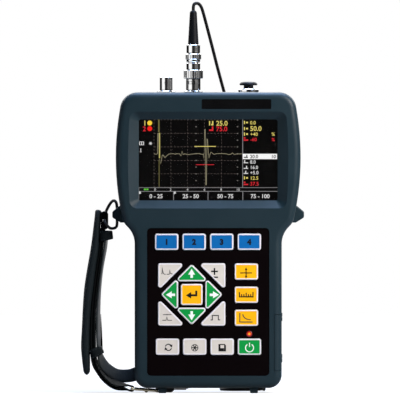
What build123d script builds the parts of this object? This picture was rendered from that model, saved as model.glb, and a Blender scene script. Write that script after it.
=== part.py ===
from build123d import *
import math
import os

# A hand-held ultrasonic flaw detector, standing upright on its feet.
# +X is the operator's right, +Y runs from the operator to the back, +Z is up.
# The origin is on the surface it stands on, under the middle of the case.

os.makedirs("parts", exist_ok=True)

# Case: a bowed head that holds the display, on a narrower grip that holds the keypad
FRONT_Y = -24.0
REAR_Y = 24.0
PARTING_Y = -14.0
WALL = 2.6
EDGE_R = 5.0
BASE_Z = 3.8
TOP_Z = 226.0
GRIP_HALF = 55.2
HEAD_HALF = 63.7
HEAD_BOW = 5.7
HEAD_FOOT_Z = 128.0
WAIST_Z = HEAD_FOOT_Z - (HEAD_HALF - GRIP_HALF)
BOTTOM_R, WAIST_R, SHOULDER_R, TOP_R = 10.0, 18.0, 12.0, 13.0
SEAM_WIDTH, SEAM_DEPTH = 0.7, 0.5
FIT = 0.25

# Display surround, a sloping frame around the window
SURROUND_HALF, SURROUND_BOW, SURROUND_R = 58.6, 1.5, 6.0
SURROUND_LOW_Z, SURROUND_HIGH_Z = 138.7, 211.3
WINDOW_HALF, WINDOW_LOW_Z, WINDOW_HIGH_Z = 52.1, 144.7, 205.5
SURROUND_DEPTH, WINDOW_LIP, WINDOW_T = 5.0, 0.8, 1.5
WINDOW_Y = FRONT_Y + SURROUND_DEPTH + WINDOW_LIP
SURROUND_FLOOR = 1.6
LCD_HALF, LCD_LOW_Z, LCD_HIGH_Z, LCD_T = 57.0, 141.0, 209.0, 6.8
LCD_FRAME, LCD_STEP = 3.5, 0.3

# Blank name plate above the display
PLATE_LEFT, PLATE_RIGHT, PLATE_LOW_Z, PLATE_HIGH_Z = -4.9, 47.3, 213.2, 220.6
PLATE_DEPTH, PLATE_T, PLATE_GAP, PLATE_R = 0.9, 0.6, 0.1, 0.8

# Keypad
OVERLAY_HALF, OVERLAY_LOW_Z, OVERLAY_HIGH_Z, OVERLAY_R = 45.9, 13.1, 124.0, 3.0
OVERLAY_DEPTH, OVERLAY_T = 1.2, 0.8
OVERLAY_Y = FRONT_Y + OVERLAY_DEPTH - OVERLAY_T
OVERLAY_GAP = 0.15
WIDE_KEY_W, WIDE_KEY_H, ENTER_KEY_W, ENTER_KEY_H = 17.5, 12.1, 16.2, 15.8
ARROW_REACH, ARROW_CORNER_R, ARROW_FLANGE_HALF = 12.9, 1.75, 9.3
CORNER_LEG = 20.3
PAD_X, PAD_Z = -12.4, 74.1
ARROW_FOOT, SIDE_ARROW_FOOT = 9.9, 10.2
CORNER_X, CORNER_Z = 25.2, 23.35
KEY_EDGE = 0.35
KEY_PROUD, KEY_TRAVEL, KEY_RIM, KEY_DISH = 1.0, 0.8, 1.0, 0.15
KEY_CORNER_R = 1.6
FLANGE, FLANGE_T = 0.6, 1.0
FLANGE_Y = FRONT_Y + WALL + 0.2
STEM_R = 2.5
BOARD_Y, BOARD_T = -17.0, 1.6
BOARD_HALF, BOARD_LOW_Z, BOARD_HIGH_Z = 45.2, 16.5, 121.5
BOARD_POSTS, BOARD_POST_R = [(-43.4, 118), (43.4, 118), (-43.4, 22), (43.4, 60)], 1.8
DOME_R, DOME_H = 3.0, 0.7
LED_X, LED_Z, LED_R, LED_GAP, LED_PROUD = 30.8, 44.6, 1.45, 0.1, 0.5

# Feet under the case, one near each corner
FOOT_X, FOOT_TOP_W, FOOT_TIP_W = 34.4, 6.5, 5.5
FRONT_FOOT_Y, REAR_FOOT_Y, FOOT_LENGTH = -16.6, 16.6, 4.8

# Ears at the shoulders, each with an upright hole for a strap cord
EAR_Y, EAR_WIDTH, EAR_HOLE_X, EAR_HOLE_R = 3.0, 10.0, 68.6, 1.8
EAR_LOW_Z, EAR_HIGH_Z, EAR_FOOT, EAR_REACH = 128.0, 140.5, 66.5, 72.2
EAR_R, EAR_EDGE_R = 2.0, 1.0
EAR_OUTLINE = [
    (62.8, EAR_LOW_Z),
    (66.0, EAR_LOW_Z),
    (EAR_REACH, 131.8),
    (EAR_REACH, 136.2),
    (67.0, EAR_HIGH_Z),
    (64.5, EAR_HIGH_Z + 1.5),
]

# Port bay on the right of the grip, with a hinged door that wraps the front edge
DOOR_FRONT_X, DOOR_REAR_Y = 49.7, 4.9
DOOR_LOW_Z, DOOR_HIGH_Z, DOOR_T = 17.0, 59.0, 2.4
BAY_FLOOR_X, BAY_FRONT_Y, BAY_REAR_Y, BAY_LOW_Z, BAY_HIGH_Z = 42.0, -12.0, 3.5, 20.0, 56.0
BAY_WALL, LINER_T = 1.5, 1.4
HINGE_X, HINGE_Y, KNUCKLE_R, HINGE_PIN_R, PIN_GAP = 54.15, 6.2, 1.8, 0.8, 0.05
DOOR_GAP = 0.3
LINER_INSET = DOOR_T + DOOR_GAP
SHELL_EDGE_Y = HINGE_Y + 0.5
FAR = 90.0  # well outside the case on any side
TOP_KNUCKLES_Z, LOW_KNUCKLES_Z, KNUCKLE_LENGTH, KNUCKLE_GAP = 56.9, 25.8, 3.0, 0.2
PORT_Y, PORT_REACH, PORT_FLOOR = -4.0, 4.0, 0.8
USB_Z, USB_HALF_W, USB_HALF_H, USB_WALL = 45.0, 4.0, 6.5, 1.35
USB_TONGUE_HALF_W, USB_TONGUE_HALF_H, USB_TONGUE_REACH = 0.9, 4.0, 3.4
JACK_Z, JACK_R, JACK_BORE_R, JACK_PIN_R, JACK_PIN_REACH = 30.0, 5.0, 3.0, 1.0, 3.6

# Main board, with screening cans, chips and plugs on its back
MAIN_Y, MAIN_T = -5.0, 1.6
MAIN_LEFT, MAIN_RIGHT, MAIN_LOW_Z, MAIN_HIGH_Z = -46.0, 36.0, 18.0, 206.0
MAIN_PARTS = [
    # X, Z, width, height, and how far it stands off the board
    (-22.0, 190.0, 30.0, 20.0, 4.0),
    (14.0, 190.0, 26.0, 20.0, 4.0),
    (-22.0, 128.0, 24.0, 24.0, 2.4),
    (12.0, 130.0, 14.0, 14.0, 1.8),
    (-20.0, 86.0, 18.0, 18.0, 2.0),
    (14.0, 92.0, 20.0, 12.0, 1.6),
    (14.0, 66.0, 12.0, 20.0, 1.6),
    (-24.0, 44.0, 30.0, 16.0, 6.0),
    (20.0, 36.0, 16.0, 14.0, 8.0),
]

# Battery bay in the upper back
BAY_COVER_HALF, BAY_COVER_LOW_Z, BAY_COVER_HIGH_Z = 47.5, 144.5, 211.5
BAY_COVER_T, BAY_COVER_R = 2.2, 5.0
BATTERY_HALF, BATTERY_LOW_Z, BATTERY_HIGH_Z = 41.0, 152.0, 204.0
BATTERY_FRONT_Y, BATTERY_T = 4.6, 16.4
BATTERY_SCREWS = [(0, 148.0), (0, 208.0)]
BATTERY_SCREW_R, BATTERY_SCREW_HOLE_R, BATTERY_SCREW_BOSS_R = 1.05, 1.1, 3.0
BATTERY_HEAD_R, BATTERY_HEAD_T, BATTERY_SCREW_LENGTH, BATTERY_SCREW_DEPTH = 2.5, 1.2, 7.0, 9.0
BATTERY_SEAT_GAP = 0.4
BATTERY_GAP, BATTERY_R, BATTERY_EDGE_R = 0.6, 3.0, 1.5
BATTERY_BAY_WALL, BATTERY_BAY_FLOOR, BATTERY_SHELF, BATTERY_SHELF_T = 1.6, 1.4, 2.5, 2.2
BATTERY_MID_Z = (BATTERY_LOW_Z + BATTERY_HIGH_Z) / 2
BATTERY_BAY_HALF = BATTERY_HALF + BATTERY_GAP
BATTERY_BAY_TALL = BATTERY_HIGH_Z - BATTERY_LOW_Z + 2 * BATTERY_GAP
COVER_MID_Z = (BAY_COVER_LOW_Z + BAY_COVER_HIGH_Z) / 2
COVER_TALL = BAY_COVER_HIGH_Z - BAY_COVER_LOW_Z
COVER_GRIPS, COVER_GRIP_PITCH, COVER_GRIP_R, COVER_GRIP_HALF = 5, 4.0, 0.8, 14.0
COVER_SCREW_R, COVER_HEAD_R, COVER_HEAD_DEPTH = 1.5, 2.7, 1.3

# Folding stand in the lower back
STAND_HALF, STAND_PIVOT_Z, STAND_FOOT_Z, STAND_T = 28.0, 116.0, 24.0, 3.6
STAND_PIVOT_Y = 21.8
STAND_BAY_DEPTH, STAND_BAY_GAP = 4.6, 0.6
STAND_PIN_R, STAND_PIN_LENGTH = 1.6, 2.6
STAND_TAPER, STAND_CORNER_R, STAND_SKIN = 4.0, 5.0, 1.4
POCKET_PITCH_X, POCKET_PITCH_Z, POCKET_SIDE, POCKET_R = 22.0, 21.0, 18.0, 2.0
STAND_BAY_WALL, STAND_BAY_FLOOR = 2.5, 2.2
STAND_BAY_FLOOR_Y = REAR_Y - STAND_BAY_DEPTH
STAND_BAY_HALF = STAND_HALF + STAND_BAY_GAP
STAND_BAY_TOP_Z = STAND_PIVOT_Z + STAND_T / 2 + STAND_BAY_GAP
STAND_BAY_LOW_Z = STAND_FOOT_Z - STAND_BAY_GAP
STAND_BAY_MID_Z = (STAND_BAY_TOP_Z + STAND_BAY_LOW_Z) / 2
STAND_PIVOT_REACH = STAND_HALF + STAND_PIN_LENGTH + 0.3
SCOOP_R = 9.0

# Screws that hold the shells together
POST_PLACES = [(56.5, 217.0), (50.5, 129.0), (46.8, 11.8)]
BOSS_R, POST_R, SCREW_R, SCREW_HEAD_R, SCREW_HEAD_T = 3.4, 3.8, 1.4, 2.7, 2.0
COUNTERBORE_R, COUNTERBORE_DEPTH = 2.9, 16.0
SCREW_LENGTH, THREAD_DEPTH, THREAD_GAP = 26.0, 5.5, 0.05
SEAL_INNER, SEAL_OUTER, SEAL_HALF_T = 1.3, 0.1, 1.4

# Sockets on the top
SOCKET_Y = 8.0
FREE_SOCKET_X, PLUGGED_SOCKET_X, AUX_SOCKET_X = -31.7, -11.2, 30.4
BARREL_R, BARREL_BORE_R, BARREL_TOP_Z = 4.82, 4.05, 237.7
BARREL_EDGE, SOCKET_GAP = 0.3, 0.05
SOCKET_TAIL_R, SOCKET_TAIL_BORE_R, SOCKET_TAIL_Z = 3.0, 2.0, 214.0
SOCKET_FLANGE_R, SOCKET_FLANGE_T = 7.0, 4.0
INNER_TOP_Z = TOP_Z - WALL
BORE_FLOOR_Z = 228.5
INSULATOR_FLANGE_T, INSULATOR_R, INSULATOR_TOP_Z = 1.1, 2.4, BARREL_TOP_Z - 1.5
CONTACT_HOLE_R, CONTACT_R, CONTACT_BORE_R = 0.7, 0.66, 0.42
CONTACT_LOW_Z, CONTACT_TOP_Z, CONTACT_BORE_Z = SOCKET_TAIL_Z - 3, BARREL_TOP_Z - 2, BORE_FLOOR_Z + 2
NUT_R, NUT_T, NUT_EDGE = 7.0, 1.4, 0.4
AUX_R, AUX_FLANGE_R, AUX_BORE_R = 5.5, 7.4, 3.85
AUX_LOW_Z, AUX_FLOOR_Z = 216.0, 217.5
AUX_CAP_R, AUX_CAP_T, AUX_EDGE = 7.7, 2.7, 0.5
LUG_R, LUG_REACH, LUG_Z = 1.0, 5.75, 233.4

# Dust plug of the third socket, from its tip to its domed cap
DUST_PLUG_TIP_R, DUST_PLUG_R, DUST_CAP_R = 3.2, 3.6, 6.65
DUST_TIP_Z, DUST_CAP_Z, DUST_TOP_Z = 219.0, 231.5, 234.3

# Probe plug: coupling nut, body, cable clamp and boot
SLEEVE_R, SLEEVE_BORE_R, SLEEVE_LOW_Z, SLEEVE_HIGH_Z = 5.45, 4.97, 227.9, 238.7
GRIP_LOW_Z, GRIP_HIGH_Z, GRIP_R, GRIP_BORE_R, GRIP_EDGE = 236.5, 242.9, 7.35, 4.35, 0.4
SLOT_GAP, SLOT_REACH, UNLOCK_TURN = 0.25, 6.4, 80
NUT_GROOVES, NUT_GROOVE_R, CLAMP_GROOVES, CLAMP_GROOVE_R, GROOVE_OUT = 30, 0.4, 26, 0.35, 0.15
PLUG_SKIRT_R, PLUG_SKIRT_BORE_R, PLUG_SKIRT_LOW_Z, PLUG_FLOOR_Z = 3.9, 2.75, 229.9, 240.0
PLUG_COLLAR_R, PLUG_COLLAR_LOW_Z, PLUG_COLLAR_HIGH_Z, PLUG_NECK_R = 4.7, 238.0, 238.45, 4.1
PLUG_R, PLUG_GROOVE_R, PLUG_GROOVE_LOW_Z, PLUG_GROOVE_HIGH_Z = 5.25, 4.9, 248.0, 249.4
PLUG_TOP_Z = 250.9
CLAMP_RING_R, CLAMP_RING_TOP_Z, CLAMP_NECK_R, CLAMP_R, CLAMP_LOW_Z = 6.0, 255.2, 4.7, 5.17, 256.0
BOOT_LOW_R, BOOT_LOW_Z, BOOT_TOP_Z = 3.98, 262.1, 287.8
BOOT_TAPER = [(3.3, 275.0), (2.65, 286.2), (2.2, 287.3), (1.6, BOOT_TOP_Z)]

# Probe cable, put away in a coil behind the case
CABLE_R = 1.25
COIL_PITCH, COIL_COLUMNS, COIL_LAYERS, COIL_EDGE = 2.6, 3, 4, 0.9
COIL_MIDDLE_R = 13.75
COIL_OUTER_R = COIL_MIDDLE_R + COIL_PITCH * (COIL_COLUMNS - 1) / 2
COIL_X, COIL_Y, COIL_LOW_Z = 26.1, 62.0, 1.3
COIL_TOP_Z = COIL_LOW_Z + COIL_PITCH * (COIL_LAYERS - 1)
COIL_LEAD, LEAD_R = 11.0, 1.2

# Plug on the cable's far end: radii and distances from the cable
FAR_PLUG_OUTLINE = [
    (0, 0),
    (2.0, 0),
    (3.0, 9.0),
    (3.4, 9.0),
    (3.4, 10.0),
    (4.1, 10.4),
    (4.1, 20.0),
    (3.7, 20.4),
    (3.3, 20.4),
    (3.3, 26.0),
    (3.0, 26.4),
    (2.5, 26.4),
    (2.5, 23.0),
    (0.5, 23.0),
    (0.5, 25.6),
    (0, 25.6),
]

# Hand strap: heights and places of its bends, seen from the front
STRAP_INNER = [(-87.3, 18), (-88.6, 35), (-89.2, 53), (-86.3, 85), (-81.8, 112), (-79.6, 134)]
STRAP_OUTER = [(-84.6, 134.4), (-88.2, 112), (-92.6, 85), (-95.4, 53), (-96, 35), (-94.3, 19)]
PAD_LOW_TIP, PAD_HIGH_TIP = (-91.4, 13.7), (-81.9, 137.4)
PAD_FRONT_Y, PAD_REAR_Y, PAD_EDGE = -12.0, 18.0, 1.8
LAYER_GAP, WEBBING_T, LINING_T = 0.2, 4.0, 2.0
WEBBING_FRONT_Y, WEBBING_REAR_Y = -8.0, 14.0
LAYER_LOW_Z, WEBBING_HIGH_Z, LINING_HIGH_Z = 31.5, 124.5, 121.0
KEEPER_T, KEEPER_GAP, KEEPER_PAD_GAP = 1.5, 0.2, 0.15
BUCKLE_LEFT_X, BUCKLE_LEFT_Z, BUCKLE_RIGHT_X, BUCKLE_RIGHT_Z = -57.6, 2.9, -38.6, 1.6
BUCKLE_Y, BUCKLE_WIDTH, BUCKLE_CORNER_R, BUCKLE_WIRE_R, BUCKLE_GAP = 3.0, 26.2, 2.5, 0.9, 0.15
BUCKLE_ROLLER_X, BUCKLE_ROLLER_Z, BUCKLE_ROLLER_R = -46.5, 1.75, 1.5
WEBBING_FOLD_R = 2.3
STRAP_LOOP_X, STRAP_LOOP_WIDTH, STRAP_LOOP_T = -42.0, 6.0, 1.6
STRAP_LOOP_LOW_Z, STRAP_LOOP_HIGH_Z, STRAP_LOOP_REACH = 7.6, 22.4, 4.4
END_LOOP_PLACE, END_LOOP_W, END_LOOP_H, END_LOOP_R, END_LOOP_T = (-77.1, 130.1), 4.4, 12.6, 1.6, 0.85
STRAP_CORD_R = 1.1

# Bands of the strap's lower end: place, heading, roll, width and thickness
WEBBING_BAND = [
    ((-86.3, 3, 33.0), (0.06, 0, -1), 0, 22, 3.9),
    ((-84.2, 3, 22.5), (0.35, 0, -0.94), 8, 22, 3.2),
    ((-77.6, 3, 13.0), (0.68, 0, -0.73), 14, 22, 2.6),
    ((-70.6, 3, 8.0), (0.9, 0, -0.44), 12, 22, 2.4),
    ((-64.6, 3, 5.2), (0.97, 0, -0.24), 7, 22, 2.4),
    ((-58.8, 3, 3.7), (0.98, 0, -0.2), 0, 22, 2.4),
]
LINING_BAND = [
    ((-83.05, 3, 33.0), (0.06, 0, -1), 0, 21.4, 1.7),
    ((-82.4, 3.4, 27.0), (0.25, 0.15, -0.95), 3, 19, 1.7),
    ((-79.6, 6.8, 22.9), (0.55, 0.45, -0.7), 14, 16, 1.8),
    ((-75.5, 11.5, 19.8), (0.66, 0.55, -0.5), 24, 12, 1.8),
    ((-68.0, 18.3, 15.2), (0.8, 0.54, -0.26), 45, 10, 1.8),
    ((-59.5, 23.2, 13.8), (0.9, 0.4, 0.05), 70, 10, 1.8),
    ((-52.0, 25.4, 14.8), (0.99, 0.1, 0.08), 88, 10, 1.8),
    ((-47.0, 25.5, 15.0), (1, 0, 0), 90, 10, 1.8),
]
LINING_TAIL_LOW, LINING_TAIL_HIGH = (-47.0, 24.6, 10.0), (-33.0, 26.4, 20.0)

# Keepers around the strap, seen from the front, and the room inside them
UPPER_KEEPER = [
    (-81.3, 114.7),
    (-73.4, 114.7),
    (-71.8, 116.6),
    (-71.6, 121.2),
    (-72.4, 122.0),
    (-80.5, 122.0),
]
LOWER_KEEPER = [
    (-88.2, 32.9),
    (-81.9, 35.4),
    (-79.9, 34.9),
    (-79.4, 30.6),
    (-80.0, 28.4),
    (-87.4, 25.4),
]
KEEPER_ROOM = [(-99, 20), (-80.8, 20), (-80.8, 40), (-73.6, 110), (-73.4, 126), (-99, 126)]

# Moulded tab under the case that holds the strap's buckle
ANCHOR_OUTLINE = [
    (-38.6, 0.3),
    (-27.6, 0.3),
    (-25.6, 1.9),
    (-25.6, BASE_Z),
    (-34.4, BASE_Z),
    (-36.4, 3.3),
    (-38.6, 3.3),
]
ANCHOR_EYE, ANCHOR_EYE_R, ANCHOR_REAR_Y, ANCHOR_WIDTH = (BUCKLE_RIGHT_X, 1.8), 1.5, 13.0, 20.0


def facing(y):
    """A drawing plane that looks at the operator, y behind the middle of the case."""
    return Plane.XZ.offset(-y)


def level(z):
    """A level drawing plane at height z."""
    return Plane.XY.offset(z)


def finish(block, name):
    """Labels a finished piece and writes it."""
    block.part.label = name
    export_step(block.part, f"parts/{name}.step")


# Outline of the case from the front, drawn with height as Y
with BuildSketch() as case_profile:
    with BuildLine():
        grip = Polyline(
            (0, BASE_Z), (GRIP_HALF, BASE_Z), (GRIP_HALF, WAIST_Z), (HEAD_HALF, HEAD_FOOT_Z)
        )
        bow = SagittaArc(grip @ 1, (HEAD_HALF, TOP_Z), -HEAD_BOW)
        Line(bow @ 1, (0, TOP_Z))
        mirror(about=Plane.YZ)
    make_face()
    for corner_z, radius in (
        (BASE_Z, BOTTOM_R),
        (WAIST_Z, WAIST_R),
        (HEAD_FOOT_Z, SHOULDER_R),
        (TOP_Z, TOP_R),
    ):
        corners = case_profile.vertices().filter_by(
            lambda v, z=corner_z: abs(v.Y - z) < 0.01 and abs(v.X) > 1
        )
        fillet(corners, radius)


def case_block(inset):
    """The whole case as one block, with its surface moved inwards by inset."""
    with BuildPart() as block:
        with BuildSketch(facing(REAR_Y - inset)):
            add(case_profile.sketch)
            if inset:
                offset(amount=-inset)
        extrude(amount=REAR_Y - FRONT_Y - 2 * inset)
        by_depth = block.faces().sort_by(Axis.Y)
        fillet(by_depth[0].edges() + by_depth[-1].edges(), EDGE_R - inset)
    return block.part


case_solid = case_block(0)


def block_between(low, high):
    """A square block between two opposite corners."""
    size = [b - a for a, b in zip(low, high)]
    with BuildPart(Plane(low)) as block:
        Box(*size, align=Align.MIN)
    return block.part


def rod(start, end, radius):
    """A round rod from start to end."""
    along = Vector(*end) - Vector(*start)
    with BuildPart() as bar:
        with BuildSketch(Plane(start, z_dir=along)):
            Circle(radius)
        extrude(amount=along.length)
    return bar.part


def turned(x, y, points):
    """A solid of revolution about the upright line at x, y, from radii and heights."""
    with BuildPart() as body:
        with BuildSketch(Plane((x, y, 0), x_dir=(1, 0, 0), z_dir=(0, -1, 0))):
            with BuildLine():
                Polyline(*points, close=True)
            make_face()
        revolve(axis=Axis((x, y, 0), (0, 0, 1)))
    return body.part


def foot(x, y):
    """A small tapered foot under the case."""
    with BuildPart() as tab:
        with BuildSketch(level(0)):
            with Locations((x, y)):
                Rectangle(FOOT_TIP_W, FOOT_LENGTH)
        with BuildSketch(level(BASE_Z + 0.4)):
            with Locations((x, y)):
                Rectangle(FOOT_TOP_W, FOOT_LENGTH)
        loft()
    return tab.part


# The case's skin, with the door's seat sunk into its right side

door_seat_box = block_between(
    (DOOR_FRONT_X - DOOR_GAP, -FAR, DOOR_LOW_Z - DOOR_GAP),
    (FAR, SHELL_EDGE_Y, DOOR_HIGH_Z + DOOR_GAP),
)
liner_box = block_between(
    (DOOR_FRONT_X - LINER_INSET - 2, -FAR, DOOR_LOW_Z - LINER_INSET),
    (FAR, SHELL_EDGE_Y + 3, DOOR_HIGH_Z + LINER_INSET),
)

with BuildPart() as door_seat:
    add(case_block(LINER_INSET))
    add(case_block(LINER_INSET + LINER_T), mode=Mode.SUBTRACT)
    add(liner_box, mode=Mode.INTERSECT)

with BuildPart() as case_skin:
    add(case_solid)
    add(case_block(WALL), mode=Mode.SUBTRACT)
    add(door_seat_box, mode=Mode.SUBTRACT)
    add(door_seat)

# Outlines of the keys, each drawn about its own place

with BuildSketch() as wide_key:
    RectangleRounded(WIDE_KEY_W, WIDE_KEY_H, KEY_CORNER_R)

with BuildSketch() as enter_key:
    RectangleRounded(ENTER_KEY_W, ENTER_KEY_H, KEY_CORNER_R)

with BuildSketch() as arrow_key:
    Polygon((-ARROW_REACH, 0), (ARROW_REACH, 0), (0, ARROW_REACH), align=None)
    fillet(arrow_key.vertices(), ARROW_CORNER_R)

with BuildSketch() as corner_key:
    Polygon((0, 0), (CORNER_LEG, 0), (0, -CORNER_LEG), align=None)
    fillet(corner_key.vertices(), KEY_CORNER_R)

# Each key: outline, place in X and Z, and turn in degrees
KEYS = {
    "key_soft_1": (wide_key, -31.2, 113.6, 0),
    "key_soft_2": (wide_key, -10.6, 113.6, 0),
    "key_soft_3": (wide_key, 10.1, 113.6, 0),
    "key_soft_4": (wide_key, 30.8, 113.6, 0),
    "key_echo": (corner_key, PAD_X - CORNER_X, PAD_Z + CORNER_Z, 0),
    "key_gain": (corner_key, PAD_X + CORNER_X, PAD_Z + CORNER_Z, -90),
    "key_pulse": (corner_key, PAD_X + CORNER_X, PAD_Z - CORNER_Z, 180),
    "key_gate": (corner_key, PAD_X - CORNER_X, PAD_Z - CORNER_Z, 90),
    "key_up": (arrow_key, PAD_X, PAD_Z + ARROW_FOOT, 0),
    "key_right": (arrow_key, PAD_X + SIDE_ARROW_FOOT, PAD_Z, -90),
    "key_down": (arrow_key, PAD_X, PAD_Z - ARROW_FOOT, 180),
    "key_left": (arrow_key, PAD_X - SIDE_ARROW_FOOT, PAD_Z, 90),
    "key_enter": (enter_key, PAD_X, PAD_Z, 0),
    "key_cursor": (wide_key, 28.6, 91.3, 0),
    "key_calibrate": (wide_key, 28.6, 73.9, 0),
    "key_curve": (wide_key, 28.6, 56.6, 0),
    "key_auto": (wide_key, -30.6, 34.9, 0),
    "key_freeze": (wide_key, -10.2, 34.9, 0),
    "key_save": (wide_key, 10.4, 34.9, 0),
    "key_power": (wide_key, 30.9, 34.9, 0),
}
# How far the middle of each outline lies from its drawing point
MIDDLES = {
    id(wide_key): (0, 0),
    id(enter_key): (0, 0),
    id(arrow_key): (0, ARROW_REACH * 0.36),
    id(corner_key): (CORNER_LEG * 0.29, -CORNER_LEG * 0.29),
}


def key_outline(name, grow=0.0):
    """The outline of a key in place, grown all round, with height as Y."""
    outline, x, z, turn = KEYS[name]
    with BuildSketch(Plane.XY) as placed:
        with Locations(Location((x, z, 0), (0, 0, turn))):
            add(outline.sketch)
        if grow:
            offset(amount=grow)
    return placed.sketch


def flange_outline(name):
    """The outline of a key's flange; the flanges of the arrows stop short of each other."""
    outline, x, z, turn = KEYS[name]
    with BuildSketch(Plane.XY) as flange:
        add(key_outline(name, FLANGE))
        if outline is arrow_key:
            with Locations(Location((x, z, 0), (0, 0, turn))):
                Rectangle(2 * ARROW_FLANGE_HALF, 4 * ARROW_REACH, mode=Mode.INTERSECT)
    return flange.sketch


def key_middle(name):
    """The place of a key's stem in X and Z."""
    outline, x, z, turn = KEYS[name]
    dx, dz = MIDDLES[id(outline)]
    c, s = math.cos(math.radians(turn)), math.sin(math.radians(turn))
    return x + c * dx - s * dz, z + s * dx + c * dz


def make_key(name):
    """A moulded key: dished cap, retaining flange behind the shell, and a stem."""
    front_y = OVERLAY_Y - KEY_PROUD
    with BuildPart() as key:
        with BuildSketch(facing(FLANGE_Y)):
            add(key_outline(name))
        extrude(amount=FLANGE_Y - front_y)
        chamfer(key.faces().sort_by(Axis.Y)[0].edges(), KEY_EDGE)
        with BuildSketch(facing(front_y)):
            add(key_outline(name, -KEY_RIM))
        extrude(amount=-KEY_DISH, mode=Mode.SUBTRACT)
        with BuildSketch(facing(FLANGE_Y)):
            add(flange_outline(name))
        extrude(amount=-FLANGE_T)
        with BuildSketch(facing(FLANGE_Y + FLANGE_T)):
            with Locations(key_middle(name)):
                Circle(STEM_R)
        stem_end = BOARD_Y - DOME_H - KEY_TRAVEL - 0.1
        extrude(amount=FLANGE_Y + FLANGE_T - stem_end)
    finish(key, name)


# Display surround: the sloping opening in the front shell

with BuildSketch() as surround_mouth:
    with BuildLine():
        low = Line((-SURROUND_HALF, SURROUND_LOW_Z), (SURROUND_HALF, SURROUND_LOW_Z))
        right = SagittaArc(low @ 1, (SURROUND_HALF, SURROUND_HIGH_Z), -SURROUND_BOW)
        high = Line(right @ 1, (-SURROUND_HALF, SURROUND_HIGH_Z))
        SagittaArc(high @ 1, low @ 0, -SURROUND_BOW)
    make_face()
    fillet(surround_mouth.vertices(), SURROUND_R)

WINDOW_MID_Z = (WINDOW_LOW_Z + WINDOW_HIGH_Z) / 2
with BuildSketch() as window_mouth:
    with Locations((0, WINDOW_MID_Z)):
        RectangleRounded(2 * WINDOW_HALF, WINDOW_HIGH_Z - WINDOW_LOW_Z, 1.5)


def posts(radius, low_y, high_y):
    """Round posts along Y at the screw places on both sides."""
    with BuildPart() as rods:
        for x, z in POST_PLACES:
            for side in (-1, 1):
                add(rod((side * x, low_y, z), (side * x, high_y, z), radius))
    return rods.part


with BuildPart() as front_bosses:
    add(posts(BOSS_R, FRONT_Y + WALL - 0.6, PARTING_Y))
    add(case_block(WALL - 1.0), mode=Mode.INTERSECT)

with BuildPart() as front_shell:
    add(case_skin)
    split(bisect_by=facing(PARTING_Y), keep=Keep.TOP)
    # Thicker floor behind the display surround
    with BuildSketch(facing(WINDOW_Y)):
        add(surround_mouth.sketch)
        offset(amount=SURROUND_FLOOR)
    extrude(amount=WINDOW_Y - FRONT_Y - 1.0)
    with BuildSketch(facing(FRONT_Y)):
        add(surround_mouth.sketch)
    with BuildSketch(facing(FRONT_Y + SURROUND_DEPTH)):
        add(window_mouth.sketch)
    loft(ruled=True, mode=Mode.SUBTRACT)
    with BuildSketch(facing(WINDOW_Y)):
        add(window_mouth.sketch)
    extrude(amount=2 * WINDOW_LIP, mode=Mode.SUBTRACT)
    # Recesses for the name plate and the keypad overlay
    with BuildSketch(facing(FRONT_Y)):
        with Locations(((PLATE_LEFT + PLATE_RIGHT) / 2, (PLATE_LOW_Z + PLATE_HIGH_Z) / 2)):
            RectangleRounded(PLATE_RIGHT - PLATE_LEFT, PLATE_HIGH_Z - PLATE_LOW_Z, PLATE_R)
    extrude(amount=-PLATE_DEPTH, mode=Mode.SUBTRACT)
    with BuildSketch(facing(FRONT_Y)):
        with Locations((0, (OVERLAY_LOW_Z + OVERLAY_HIGH_Z) / 2)):
            RectangleRounded(2 * OVERLAY_HALF, OVERLAY_HIGH_Z - OVERLAY_LOW_Z, OVERLAY_R)
    extrude(amount=-OVERLAY_DEPTH, mode=Mode.SUBTRACT)
    # Key and lamp holes
    with BuildSketch(facing(FRONT_Y)):
        for key_name in KEYS:
            add(key_outline(key_name, FIT))
        with Locations((LED_X, LED_Z)):
            Circle(LED_R + LED_GAP)
    extrude(amount=-2 * WALL, mode=Mode.SUBTRACT)
    # Screw bosses and keypad board posts
    add(front_bosses)
    add(posts(SCREW_R + THREAD_GAP, PARTING_Y - THREAD_DEPTH, PARTING_Y), mode=Mode.SUBTRACT)
    with BuildSketch(facing(BOARD_Y)):
        with Locations(*BOARD_POSTS):
            Circle(BOARD_POST_R)
    extrude(amount=BOARD_Y - FRONT_Y - WALL + 0.2)
    add(foot(-FOOT_X, FRONT_FOOT_Y))
    add(foot(FOOT_X, FRONT_FOOT_Y))
finish(front_shell, "front_shell")

for key_name in KEYS:
    make_key(key_name)

# Rear shell

TOP_KNUCKLE_SHELL = (TOP_KNUCKLES_Z + KNUCKLE_GAP / 2, KNUCKLE_LENGTH)
TOP_KNUCKLE_DOOR = (TOP_KNUCKLES_Z - KNUCKLE_GAP / 2, -KNUCKLE_LENGTH)
LOW_KNUCKLE_SHELL = (LOW_KNUCKLES_Z - KNUCKLE_GAP / 2, -KNUCKLE_LENGTH)
LOW_KNUCKLE_DOOR = (LOW_KNUCKLES_Z + KNUCKLE_GAP / 2, KNUCKLE_LENGTH)


def hinge_rod(place, radius, margin=0.0):
    """A rod on the door's hinge line, over the height given by its start and length."""
    start, length = place
    low, high = min(start, start + length) - margin, max(start, start + length) + margin
    return rod((HINGE_X, HINGE_Y, low), (HINGE_X, HINGE_Y, high), radius)


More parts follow.
